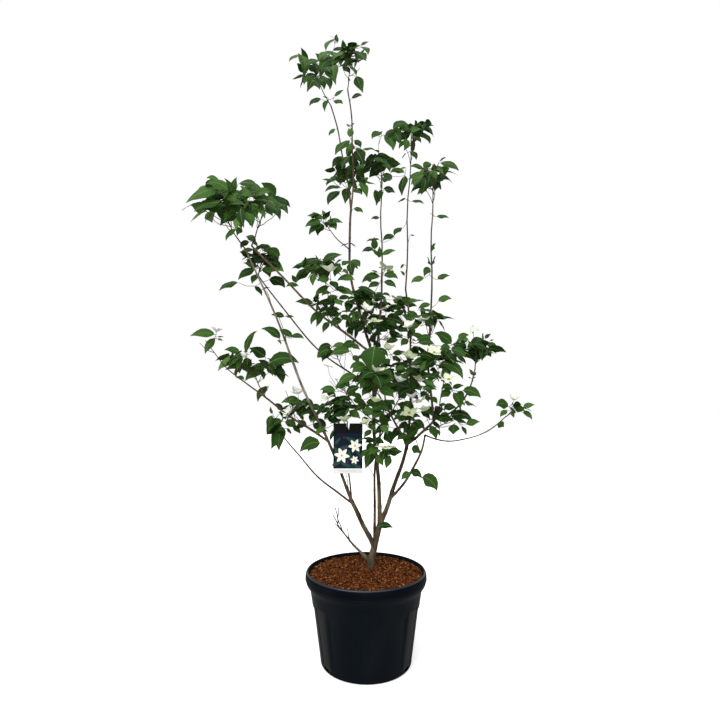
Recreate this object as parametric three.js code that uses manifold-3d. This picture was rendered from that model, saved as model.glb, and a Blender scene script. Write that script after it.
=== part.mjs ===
// A kousa dogwood in its nursery container: one short trunk that forks low into several thin stems,
// with leaves and bloom in loose clusters along them. Millimetres, +Z up. The origin is the middle
// of the pot's flat underside, and the front of the plant faces -Y.
import * as THREE from 'three';
import { mergeVertices } from 'three/addons/utils/BufferGeometryUtils.js';
import Module from 'manifold-3d';

const wasm = await Module();
wasm.setup();

// Clearance between solids that touch on the real plant
const GAP = 0.3;
const GOLDEN_ANGLE = Math.PI * (3 - Math.sqrt(5));
const UP = new THREE.Vector3(0, 0, 1);

// Pot
const POT = {
  height: 430,
  baseRadius: 223,
  bottomRound: 12,
  bodyTopRadius: 260,
  bodyTopHeight: 262,
  collarRadius: 267.5,
  collarTopRadius: 278,
  collarTopHeight: 340,
  rimRadius: 303,
  rimLowHeight: 384,
  rimInnerRadius: 282,
  wall: 4,
  segments: 36,
  ribCount: 6,
  ribHeight: 5,
  drainAngles: [-72, 72, 144, -144],
  drainRadius: 9,
  drainHeight: 15,
};
const LABEL_RECESS = { width: 120, low: 308, high: 337, depth: 1.8 };

// Root ball of compost, and the layer of bark mulch on it, level round the trunk
const BALL_TOP = 372;
const MULCH = { rimHeight: 398, plateauHeight: 418, plateauRadius: 130, ripple: 4, segments: 18 };

// Foot and tip of the trunk. Its root flare widens the foot, which is cut level just on the mulch.
const TRUNK = {
  name: 'trunk',
  start: [22, 60, MULCH.plateauHeight - 15],
  tip: [75, 55, 635],
  bow: [-4, 2, 0],
  radii: [19, 15.5],
  flare: 9,
  flareHeight: 45,
};

// Boughs. Each one leaves its parent at the share `at` of the parent's length, ends at `tip`, and
// is bowed by `bow` at its middle. `radii` are at its foot and its tip.
const BOUGHS = [
  { name: 'left_stem', parent: 'trunk', at: 0.5, tip: [-75, 20, 760], bow: [0, 6, -4], radii: [13, 10.5] },
  { name: 'centre_stem', parent: 'trunk', at: 1, tip: [25, 30, 1575], bow: [2, 16, 0], radii: [11.5, 6.5] },
  { name: 'right_stem', parent: 'trunk', at: 0.95, tip: [220, 10, 1050], bow: [6, 6, -6], radii: [12, 8.5] },
  { name: 'back_stem', parent: 'trunk', at: 0.55, tip: [120, 300, 1290], bow: [-24, 22, 0], radii: [8, 4.5] },
  { name: 'dead_shoot', parent: 'trunk', at: 0.14, tip: [-165, 110, 625], bow: [4, 4, -8], radii: [5, 2] },
  { name: 'left_leader', parent: 'left_stem', at: 1, tip: [-540, -460, 1930], bow: [0, 52, 0], radii: [10, 4.2] },
  { name: 'left_low_shoot', parent: 'left_stem', at: 0.93, tip: [-445, 160, 1065], bow: [0, 0, -30], radii: [5, 3] },
  { name: 'tag_shoot', parent: 'left_stem', at: 0.98, tip: [-95, -60, 1165], bow: [-8, -4, 0], radii: [4.2, 2.6] },
  { name: 'left_low_branch', parent: 'left_leader', at: 0.26, tip: [-590, -190, 1355], bow: [8, 8, -14], radii: [5.5, 3] },
  { name: 'right_inner', parent: 'right_stem', at: 0.97, tip: [70, -115, 1290], bow: [8, 10, 0], radii: [5.5, 3.5] },
  { name: 'right_outer', parent: 'right_stem', at: 1, tip: [380, 0, 1195], bow: [4, 0, -8], radii: [7.5, 5.5] },
  { name: 'right_low', parent: 'right_stem', at: 0.34, tip: [310, 0, 1095], bow: [30, -34, 0], radii: [6, 4] },
  { name: 'far_right_arch', parent: 'right_low', at: 1, tip: [765, 90, 1190], bow: [0, 0, -72], radii: [3.6, 2.2] },
  { name: 'right_reach', parent: 'right_outer', at: 1, tip: [590, 30, 1440], bow: [20, 0, -60], radii: [4.6, 2.8] },
  { name: 'tall_right_stem', parent: 'right_outer', at: 0.86, tip: [335, -130, 1745], bow: [-22, -16, 0], radii: [5.2, 4] },
  { name: 'tall_middle_stem', parent: 'right_stem', at: 0.9, tip: [232, 130, 1915], bow: [34, 22, 0], radii: [6, 4] },
  { name: 'upright_stem', parent: 'centre_stem', at: 0.62, tip: [96, 120, 2010], bow: [6, 24, 0], radii: [6, 4.6] },
  { name: 'main_leader', parent: 'centre_stem', at: 1, tip: [-80, 0, 2335], bow: [-48, -8, 0], radii: [6.4, 5] },
  { name: 'top_left_stem', parent: 'main_leader', at: 1, tip: [-200, 60, 3005], bow: [14, 0, 0], radii: [4.2, 3] },
  { name: 'top_right_stem', parent: 'main_leader', at: 0.99, tip: [-100, -60, 3020], bow: [22, -14, 0], radii: [4.2, 3] },
  { name: 'left_arch', parent: 'centre_stem', at: 0.96, tip: [-525, -420, 1965], bow: [0, 0, -30], radii: [5.5, 3.5] },
  { name: 'thin_left_arch', parent: 'centre_stem', at: 0.77, tip: [-530, -250, 1880], bow: [0, 0, -80], radii: [4, 2.6] },
];

// Masses of foliage. Each one grows from `limb` at `at`, keeps inside the ellipsoid round `centre`
// with half axes `size`, has `twigs` leafy twigs and `blooms` flowers. One with `pairs` has a long
// shoot below its cluster, with that many pairs of leaves inside a sleeve round it.
const MASSES = [
  { name: 'top_left_spray', limb: 'top_left_stem', at: 1, centre: [-300, 70, 3250], size: [165, 135, 130], twigs: 4 },
  { name: 'top_right_spray', limb: 'top_right_stem', at: 1, centre: [-85, -25, 3220], size: [140, 140, 140], twigs: 4 },
  { name: 'upper_middle_spray', limb: 'main_leader', at: 0.96, centre: [-92, 72, 2562], size: [140, 170, 195], twigs: 4 },
  { name: 'upright_spray', limb: 'upright_stem', at: 1, centre: [95, 130, 2660], size: [115, 150, 175], twigs: 4, pairs: 4 },
  { name: 'tall_middle_spray', limb: 'tall_middle_stem', at: 1, centre: [280, 150, 2890], size: [140, 145, 115], twigs: 3, pairs: 4 },
  { name: 'tall_right_spray', limb: 'tall_right_stem', at: 1, centre: [355, -146, 2444], size: [150, 150, 115], twigs: 3, pairs: 4 },
  { name: 'canopy_front', limb: 'left_leader', at: 1, centre: [-640, -510, 2110], size: [165, 170, 140], twigs: 4 },
  { name: 'canopy_back', limb: 'left_arch', at: 1, centre: [-480, -390, 2165], size: [140, 170, 140], twigs: 4 },
  { name: 'canopy_tuft', limb: 'thin_left_arch', at: 1, centre: [-520, -235, 1960], size: [115, 120, 115], twigs: 3 },
  { name: 'slender_spray', limb: 'main_leader', at: 0.7, centre: [-228, -70, 2240], size: [112, 110, 78], twigs: 3 },
  { name: 'middle_left_upper', limb: 'left_arch', at: 0.3, centre: [-215, -300, 1905], size: [135, 140, 95], twigs: 4, blooms: 1 },
  { name: 'middle_left_lower', limb: 'left_arch', at: 0.12, centre: [-195, -150, 1725], size: [120, 140, 135], twigs: 4 },
  { name: 'middle_crown', limb: 'main_leader', at: 0.12, centre: [-5, -130, 1785], size: [120, 140, 115], twigs: 4, blooms: 2 },
  { name: 'middle_right_upper', limb: 'tall_middle_stem', at: 0.72, centre: [225, 140, 1805], size: [135, 140, 115], twigs: 4, blooms: 2 },
  { name: 'middle_right_front', limb: 'tall_right_stem', at: 0.62, centre: [335, -150, 1680], size: [130, 140, 112], twigs: 4, blooms: 2 },
  { name: 'right_shoulder', limb: 'right_outer', at: 0.95, centre: [395, -200, 1470], size: [120, 150, 135], twigs: 4, blooms: 3 },
  { name: 'right_tip', limb: 'right_reach', at: 1, centre: [600, 30, 1555], size: [128, 125, 100], twigs: 4, blooms: 1 },
  { name: 'far_right_tip', limb: 'far_right_arch', at: 1, centre: [810, 92, 1235], size: [125, 110, 80], twigs: 2, blooms: 1 },
  { name: 'right_fringe', limb: 'right_outer', at: 0.55, centre: [440, -60, 1180], size: [145, 130, 105], twigs: 3 },
  { name: 'heart_left', limb: 'thin_left_arch', at: 0.25, centre: [-150, -200, 1500], size: [115, 130, 80], twigs: 3 },
  { name: 'heart_right', limb: 'tall_middle_stem', at: 0.25, centre: [245, 0, 1420], size: [140, 150, 225], twigs: 5, blooms: 4 },
  { name: 'heart_centre', limb: 'right_inner', at: 1, centre: [25, -220, 1370], size: [120, 170, 165], twigs: 4, blooms: 3 },
  { name: 'front_low', limb: 'tag_shoot', at: 1, centre: [-145, -60, 1245], size: [125, 125, 90], twigs: 4, blooms: 2 },
  { name: 'left_low', limb: 'left_low_branch', at: 0.3, centre: [-345, -65, 1230], size: [118, 120, 102], twigs: 3, blooms: 2 },
  { name: 'left_outer', limb: 'left_low_branch', at: 0.78, centre: [-570, -170, 1450], size: [190, 140, 120], twigs: 4, blooms: 1 },
  { name: 'left_far_tip', limb: 'left_low_branch', at: 1, centre: [-775, -250, 1555], size: [100, 105, 90], twigs: 2, blooms: 1 },
  { name: 'left_hanging', limb: 'left_low_shoot', at: 1, centre: [-475, 160, 1110], size: [105, 120, 110], twigs: 3 },
  { name: 'low_centre', limb: 'centre_stem', at: 0.36, centre: [70, -150, 1030], size: [120, 140, 115], twigs: 3, blooms: 2 },
  { name: 'low_right', limb: 'right_low', at: 0.45, centre: [295, -50, 885], size: [95, 100, 78], twigs: 2 },
  { name: 'back_upper', limb: 'back_stem', at: 1, centre: [80, 420, 1800], size: [190, 180, 190], twigs: 4, blooms: 1 },
  { name: 'back_left', limb: 'back_stem', at: 0.8, centre: [-180, 330, 1420], size: [170, 180, 160], twigs: 4, blooms: 1 },
  { name: 'back_right', limb: 'back_stem', at: 0.7, centre: [260, 380, 1400], size: [170, 170, 170], twigs: 4, blooms: 1 },
];

// Leaves, twigs and flowers
const LEAF = {
  length: 114, width: 0.55, widest: 0.42, thickness: 0.036, arch: 0.07, droop: 0.16,
  shares: [1, 0.85, 0.7],
};
const TWIG = { radius: 2.3, tipRadius: 2.7, sides: 3, steps: 1, leafRoom: 78, leastReach: 0.3 };
const SHOOT = { radius: 4, tipRadius: 3.6, sides: 4, steps: 3, longSteps: 5 };
const BLOOM = { stalk: 42, bract: 40, waist: 0.34, thickness: 7.2, place: 0.86 };
// Half width of the space round the long shoots, and the stretch of such a shoot that carries leaves
const SLEEVE = 105;
const SLEEVE_LEAVES = { from: 0.1, over: 0.66, ahead: 0.3 };
// Pairs of leaves at the end of a shoot, by their distance back from it, and on a twig, by share of
// its length, with how far they point ahead
const WHORL = [{ back: 1, ahead: 0.9 }, { back: 16, ahead: 0.35 }];
const TWIG_PAIRS = [{ share: 0.94, ahead: 0.8 }, { share: 0.62, ahead: 0.4 }];
const SPACE_MARGIN = 0.05;
const LIMB_CLEARANCE = 9;
const ROOT_VOLUME = 2;
const CLEAN_UP = 0.1;

// Picture tag on its own tie
const TAG = {
  width: 147, height: 249, thickness: 1.6, top: 1157, middle: -91, front: -82, hangs: 0.9,
  slotHalf: 9, slotFloorHalf: 5, slotDepth: 34,
};
const TIE = { ring: 4.4, cord: 1.6 };

const BARK = new THREE.MeshStandardMaterial({ color: 0x7a6f5c, roughness: 0.85, metalness: 0 });
const SHOOT_BARK = new THREE.MeshStandardMaterial({ color: 0x7d6252, roughness: 0.8, metalness: 0 });
const DEAD_BARK = new THREE.MeshStandardMaterial({ color: 0x4a443c, roughness: 0.9, metalness: 0 });
const LEAF_GREEN = new THREE.MeshStandardMaterial({ color: 0x2f5a30, roughness: 0.6, metalness: 0 });
const POT_PLASTIC = new THREE.MeshStandardMaterial({ color: 0x14171c, roughness: 0.55, metalness: 0 });
const COMPOST = new THREE.MeshStandardMaterial({ color: 0x2c211a, roughness: 1, metalness: 0 });
const BARK_MULCH = new THREE.MeshStandardMaterial({ color: 0x7a4a2e, roughness: 0.95, metalness: 0 });
const TAG_CARD = new THREE.MeshStandardMaterial({ color: 0x2b3146, roughness: 0.5, metalness: 0 });

// Same draw every time: a multiplicative congruential generator
function seededRandom(seed) {
  let state = (seed * 7919 + 12345) % 2147483647;
  return () => {
    state = (state * 16807) % 2147483647;
    return state / 2147483647;
  };
}

function vector(numbers) {
  return new THREE.Vector3(numbers[0], numbers[1], numbers[2]);
}

function solidOf(geometry) {
  const bare = geometry.index ? geometry.toNonIndexed() : geometry.clone();
  bare.deleteAttribute('normal');
  bare.deleteAttribute('uv');
  const merged = mergeVertices(bare, 1e-4);
  return new wasm.Manifold(new wasm.Mesh({
    numProp: 3,
    vertProperties: new Float32Array(merged.attributes.position.array),
    triVerts: new Uint32Array(merged.index.array),
  }));
}

// The largest body of a solid. A loose scrap that a cut leaves is dropped.
function mainBody(solid) {
  const bodies = solid.decompose();
  bodies.sort((a, b) => b.volume() - a.volume());
  return bodies[0];
}

function meshOf(name, solid, material) {
  const result = solid.getMesh();
  const geometry = new THREE.BufferGeometry();
  geometry.setAttribute('position', new THREE.BufferAttribute(new Float32Array(result.vertProperties), 3));
  geometry.setIndex(new THREE.BufferAttribute(new Uint32Array(result.triVerts), 1));
  geometry.computeVertexNormals();
  const mesh = new THREE.Mesh(geometry, material);
  mesh.name = name;
  return mesh;
}

// A limb's line: straight from start to tip, bowed at its middle, with a slight crook
class LimbCurve extends THREE.Curve {
  constructor(start, tip, bow, crook = 0) {
    super();
    this.start = start;
    this.tip = tip;
    this.bow = bow;
    const along = new THREE.Vector3().subVectors(tip, start);
    this.sideways = new THREE.Vector3(along.z, 0.6 * along.z, -along.x - 0.6 * along.y).normalize();
    this.sideways.multiplyScalar(crook * along.length());
  }

  getPoint(t, target = new THREE.Vector3()) {
    target.lerpVectors(this.start, this.tip, t);
    target.addScaledVector(this.bow, 4 * t * (1 - t));
    return target.addScaledVector(this.sideways, Math.sin(3 * Math.PI * t) * t * (1 - t) * 4);
  }
}

// A cylinder bent along a curve, with its radius given by a function of the share of its length.
// `overrun` lengthens it at both ends.
function bentTube(curve, radiusAt, sides, steps, overrun = 0) {
  const geometry = new THREE.CylinderGeometry(1, 1, 1, sides, steps);
  const tangents = [];
  const sidesways = [];
  for (let ring = 0; ring <= steps; ring += 1) {
    const tangent = curve.getTangent(ring / steps);
    const previous = ring === 0 ? new THREE.Vector3(0.31, 0.95, 0.02) : sidesways[ring - 1];
    const sideways = previous.clone().addScaledVector(tangent, -previous.dot(tangent)).normalize();
    tangents.push(tangent);
    sidesways.push(sideways);
  }
  const position = geometry.attributes.position;
  const place = new THREE.Vector3();
  for (let i = 0; i < position.count; i += 1) {
    const ring = Math.round((position.getY(i) + 0.5) * steps);
    const share = ring / steps;
    const across = new THREE.Vector3().crossVectors(sidesways[ring], tangents[ring]);
    curve.getPoint(share, place);
    const beyond = ring === 0 ? -overrun : ring === steps ? overrun : 0;
    place.addScaledVector(tangents[ring], beyond);
    place.addScaledVector(sidesways[ring], position.getX(i) * radiusAt(share));
    place.addScaledVector(across, position.getZ(i) * radiusAt(share));
    position.setXYZ(i, place.x, place.y, place.z);
  }
  return solidOf(geometry);
}

// Distance from a point to a limb's axis, less the limb's radius there
function distanceToLimb(point, limb) {
  let nearest = Infinity;
  const segment = new THREE.Line3();
  const foot = new THREE.Vector3();
  for (let i = 0; i + 1 < limb.samples.length; i += 1) {
    segment.set(limb.samples[i], limb.samples[i + 1]);
    segment.closestPointToPoint(point, true, foot);
    nearest = Math.min(nearest, foot.distanceTo(point) - limb.radiusAt((i + 0.5) / limb.samples.length));
  }
  return nearest;
}

// Pot: a turned profile whose body carries upright ribs, with drain holes and a recess for a label
function makePot() {
  const p = POT;
  const outside = [
    [0, 0], [p.baseRadius - p.bottomRound, 0], [p.baseRadius, p.bottomRound],
    [p.bodyTopRadius, p.bodyTopHeight], [p.collarRadius, p.bodyTopHeight + 10],
    [p.collarTopRadius, p.collarTopHeight], [p.rimRadius - 8, p.rimLowHeight - 17],
    [p.rimRadius, p.rimLowHeight], [p.rimRadius, p.height - 26],
    [p.rimRadius - 5, p.height - 7], [p.rimRadius - 13, p.height],
  ];
  const inside = [
    [p.rimInnerRadius + 2, p.height - 4], [p.rimInnerRadius - 4, p.height - 22],
    [p.collarTopRadius - p.wall, p.collarTopHeight], [p.bodyTopRadius - p.wall, p.bodyTopHeight],
    [p.baseRadius - p.wall, p.bottomRound + 2], [p.baseRadius - p.bottomRound, p.wall], [0, p.wall],
  ];
  const profile = [...outside, ...inside].map(([radius, height]) => new THREE.Vector2(radius, height));
  const geometry = new THREE.LatheGeometry(profile, p.segments);
  const position = geometry.attributes.position;
  const ribSpacing = p.segments / p.ribCount;
  for (let i = 0; i < position.count; i += 1) {
    const onProfile = i % profile.length;
    const segment = Math.floor(i / profile.length) % p.segments;
    const onBodyWall = onProfile === 2 || onProfile === 3;
    const place = segment % ribSpacing;
    // The front place, where the lathe starts, is left plain for the label recess
    if (onBodyWall && segment > 1 && (place === 0 || place === 1)) {
      const radius = Math.hypot(position.getX(i), position.getZ(i));
      const grown = (radius + p.ribHeight) / radius;
      position.setX(i, position.getX(i) * grown);
      position.setZ(i, position.getZ(i) * grown);
    }
  }
  // The lathe turns round Y and starts at +Z. Turned upright, that start faces the front.
  geometry.rotateX(Math.PI / 2);
  let pot = solidOf(geometry);
  const hole = new THREE.CylinderGeometry(p.drainRadius, p.drainRadius, 60, 8);
  for (const degrees of p.drainAngles) {
    const drill = hole.clone();
    drill.translate(0, -(p.baseRadius + 2), 0);
    drill.rotateZ(THREE.MathUtils.degToRad(degrees));
    drill.translate(0, 0, p.drainHeight);
    pot = pot.subtract(solidOf(drill));
  }
  // The recess is a window of the wall's outer skin, so that its floor follows the wall
  const window = new THREE.BoxGeometry(LABEL_RECESS.width, p.baseRadius, LABEL_RECESS.high - LABEL_RECESS.low);
  window.translate(0, -p.baseRadius, (LABEL_RECESS.high + LABEL_RECESS.low) / 2);
  const collarLow = p.bodyTopHeight + 10;
  const below = new THREE.CylinderGeometry(
    p.collarTopRadius - LABEL_RECESS.depth,
    p.collarRadius - LABEL_RECESS.depth,
    p.collarTopHeight - collarLow,
    p.segments,
  );
  below.rotateX(Math.PI / 2);
  below.translate(0, 0, (p.collarTopHeight + collarLow) / 2);
  return mainBody(pot.subtract(solidOf(window).subtract(solidOf(below))));
}

// Compost inside the pot: the pot's inner profile, drawn in by the gap
function makeRootBall() {
  const p = POT;
  const clear = p.wall + GAP + 0.2;
  const heightShare = (BALL_TOP - p.collarTopHeight) / (p.height - 22 - p.collarTopHeight);
  const topRadius = THREE.MathUtils.lerp(p.collarTopRadius - p.wall, p.rimInnerRadius - 4, heightShare);
  const profile = [
    [0, p.wall + GAP], [p.baseRadius - p.bottomRound - 0.5, p.wall + GAP],
    [p.baseRadius - clear, p.bottomRound + 2.2], [p.bodyTopRadius - clear, p.bodyTopHeight],
    [p.collarTopRadius - clear, p.collarTopHeight], [topRadius - 0.5, BALL_TOP], [0, BALL_TOP],
  ].map(([radius, height]) => new THREE.Vector2(radius, height));
  const geometry = new THREE.LatheGeometry(profile, MULCH.segments);
  geometry.rotateX(Math.PI / 2);
  return solidOf(geometry);
}

// Mulch: a low dome with a level middle that the trunk stands on, rippled further out
function makeMulch() {
  const p = POT;
  const low = BALL_TOP + GAP;
  const wallAt = (height) => THREE.MathUtils.lerp(
    p.collarTopRadius - p.wall,
    p.rimInnerRadius - 4,
    (height - p.collarTopHeight) / (p.height - 22 - p.collarTopHeight),
  );
  const middle = (MULCH.rimHeight + MULCH.plateauHeight) / 2 + 4;
  const profile = [
    [0, low], [wallAt(low) - 0.5, low], [wallAt(MULCH.rimHeight) - 0.5, MULCH.rimHeight],
    [(MULCH.plateauRadius + wallAt(middle)) / 2, middle],
    [MULCH.plateauRadius, MULCH.plateauHeight], [0, MULCH.plateauHeight],
  ].map(([radius, height]) => new THREE.Vector2(radius, height));
  const geometry = new THREE.LatheGeometry(profile, MULCH.segments);
  geometry.rotateX(Math.PI / 2);
  const position = geometry.attributes.position;
  for (let i = 0; i < position.count; i += 1) {
    if (i % profile.length === 3) {
      const turn = Math.atan2(position.getY(i), position.getX(i));
      position.setZ(i, position.getZ(i) + MULCH.ripple * Math.sin(5 * turn));
    }
  }
  return solidOf(geometry);
}

// Every limb with its curve, its taper and points along it
function limbOf(row, start) {
  const curve = new LimbCurve(start, vector(row.tip), vector(row.bow), row.flare ? 0 : 0.008);
  const [footRadius, tipRadius] = row.radii;
  const length = start.distanceTo(curve.tip);
  const radiusAt = (share) => {
    const plain = THREE.MathUtils.lerp(footRadius, tipRadius, share);
    return row.flare ? plain + row.flare * Math.exp((-share * length) / row.flareHeight) : plain;
  };
  return { name: row.name, curve, radiusAt, length, samples: curve.getPoints(24) };
}

function makeLimbs() {
  const limbs = new Map([[TRUNK.name, limbOf(TRUNK, vector(TRUNK.start))]]);
  for (const row of BOUGHS) {
    const start = limbs.get(row.parent).curve.getPoint(row.at);
    if (row.at === 1) {
      // End to end: the bough starts just past its parent's tip
      start.addScaledVector(limbs.get(row.parent).curve.getTangent(1), GAP);
    }
    limbs.set(row.name, limbOf(row, start));
  }
  const finished = [];
  for (const limb of limbs.values()) {
    const steps = limb.name === TRUNK.name ? 7 : THREE.MathUtils.clamp(Math.round(limb.length / 150), 3, 7);
    const sides = limb.radiusAt(0) > 9 ? 8 : limb.radiusAt(0) > 5 ? 6 : 4;
    limb.solid = bentTube(limb.curve, limb.radiusAt, sides, steps);
    if (limb.name === TRUNK.name) {
      const ground = new THREE.BoxGeometry(200, 200, 100);
      ground.translate(TRUNK.start[0], TRUNK.start[1], MULCH.plateauHeight + GAP - 50);
      limb.solid = limb.solid.subtract(solidOf(ground));
    }
    for (const earlier of finished) {
      limb.solid = limb.solid.subtract(earlier.grown);
    }
    limb.solid = mainBody(limb.solid);
    const grownRadiusAt = (share) => limb.radiusAt(share) + GAP * 1.15;
    limb.grown = bentTube(limb.curve, grownRadiusAt, sides, steps, GAP);
    finished.push(limb);
  }
  return limbs;
}

// How far out a point lies in a mass's space: up to 1 inside it
function reachInSpace(point, mass) {
  const x = (point.x - mass.centre[0]) / mass.size[0];
  const y = (point.y - mass.centre[1]) / mass.size[1];
  const z = (point.z - mass.centre[2]) / mass.size[2];
  const inCluster = Math.sqrt(x * x + y * y + z * z);
  return mass.pairs ? Math.min(inCluster, (distanceToLimb(point, mass.shoot) + 3) / SLEEVE) : inCluster;
}

function keepsClear(points, mass, masses, limbs) {
  for (const point of points) {
    const own = reachInSpace(point, mass);
    if (own > 1) {
      return false;
    }
    for (const other of masses) {
      if (other !== mass && own + SPACE_MARGIN > reachInSpace(point, other)) {
        return false;
      }
      if (other !== mass && distanceToLimb(point, other.shoot) < LIMB_CLEARANCE) {
        return false;
      }
    }
    for (const limb of limbs.values()) {
      if (distanceToLimb(point, limb) < LIMB_CLEARANCE) {
        return false;
      }
    }
  }
  return true;
}

// Leaf: eight faces, arched along its middle, with its tip drooping. Returns its solid and points.
function leafAt(root, direction, normal, length) {
  const across = new THREE.Vector3().crossVectors(direction, normal).normalize();
  const at = (along, sideways, lift) => root.clone()
    .addScaledVector(direction, along * length)
    .addScaledVector(across, sideways * length)
    .addScaledVector(normal, lift * length);
  const half = LEAF.width / 2;
  const base = at(-0.008, 0, 0);
  const tip = at(1, 0, -LEAF.droop);
  const left = at(LEAF.widest, -half, -0.01);
  const right = at(LEAF.widest, half, -0.01);
  const over = at(LEAF.widest + 0.05, 0, LEAF.arch + LEAF.thickness / 2);
  const under = at(LEAF.widest + 0.05, 0, LEAF.arch - LEAF.thickness / 2);
  const corners = [base, tip, left, right, over, under];
  const faces = [0, 3, 4, 3, 1, 4, 1, 2, 4, 2, 0, 4, 3, 0, 5, 1, 3, 5, 2, 1, 5, 0, 2, 5];
  const geometry = new THREE.BufferGeometry();
  const array = new Float32Array(corners.flatMap((corner) => [corner.x, corner.y, corner.z]));
  geometry.setAttribute('position', new THREE.BufferAttribute(array, 3));
  geometry.setIndex(faces);
  const points = [];
  for (let i = 1; i <= 6; i += 1) {
    const along = i / 6;
    const wide = along < LEAF.widest ? along / LEAF.widest : (1 - along) / (1 - LEAF.widest);
    for (const sideways of [-1, -0.5, 0, 0.5, 1]) {
      const lift = (1 - Math.abs(sideways)) * wide * LEAF.arch - Math.max(0, along - LEAF.widest) * LEAF.droop;
      points.push(at(along, sideways * wide * half, lift));
    }
  }
  return { geometry, points };
}

// Flower: a flat star of four bracts on an upright stalk
function bloomAt(root, turn) {
  const top = root.clone().add(new THREE.Vector3(0, 0, BLOOM.stalk));
  const corners = [top.clone().addScaledVector(UP, BLOOM.thickness / 2)];
  for (let i = 0; i < 8; i += 1) {
    const angle = turn + (i * Math.PI) / 4;
    const radius = i % 2 === 0 ? BLOOM.bract : BLOOM.bract * BLOOM.waist;
    corners.push(new THREE.Vector3(Math.cos(angle) * radius, Math.sin(angle) * radius, 0).add(top));
  }
  corners.push(top.clone().addScaledVector(UP, -BLOOM.thickness / 2));
  const faces = [];
  for (let i = 0; i < 8; i += 1) {
    const next = (i + 1) % 8;
    faces.push(0, 1 + i, 1 + next, 9, 1 + next, 1 + i);
  }
  const geometry = new THREE.BufferGeometry();
  const array = new Float32Array(corners.flatMap((corner) => [corner.x, corner.y, corner.z]));
  geometry.setAttribute('position', new THREE.BufferAttribute(array, 3));
  geometry.setIndex(faces);
  const stalk = new LimbCurve(root.clone(), top, new THREE.Vector3());
  return { geometry, stalk, points: corners };
}

// The shoot that carries a mass, from its limb to the middle of its cluster
function addShoot(mass, limbs, seed) {
  const limb = limbs.get(mass.limb);
  const start = limb.curve.getPoint(mass.at);
  if (mass.at === 1) {
    start.addScaledVector(limb.curve.getTangent(1), GAP);
  }
  const end = vector(mass.centre);
  const bow = new THREE.Vector3(0, 0, mass.pairs ? 0 : -0.08 * start.distanceTo(end));
  const curve = new LimbCurve(start, end, bow, 0.01);
  const radiusAt = (share) => THREE.MathUtils.lerp(SHOOT.radius, SHOOT.tipRadius, share);
  mass.seed = seed;
  const tube = bentTube(curve, radiusAt, SHOOT.sides, mass.pairs ? SHOOT.longSteps : SHOOT.steps);
  mass.shoot = { curve, radiusAt, tube, length: start.distanceTo(end), samples: curve.getPoints(16) };
}

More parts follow.
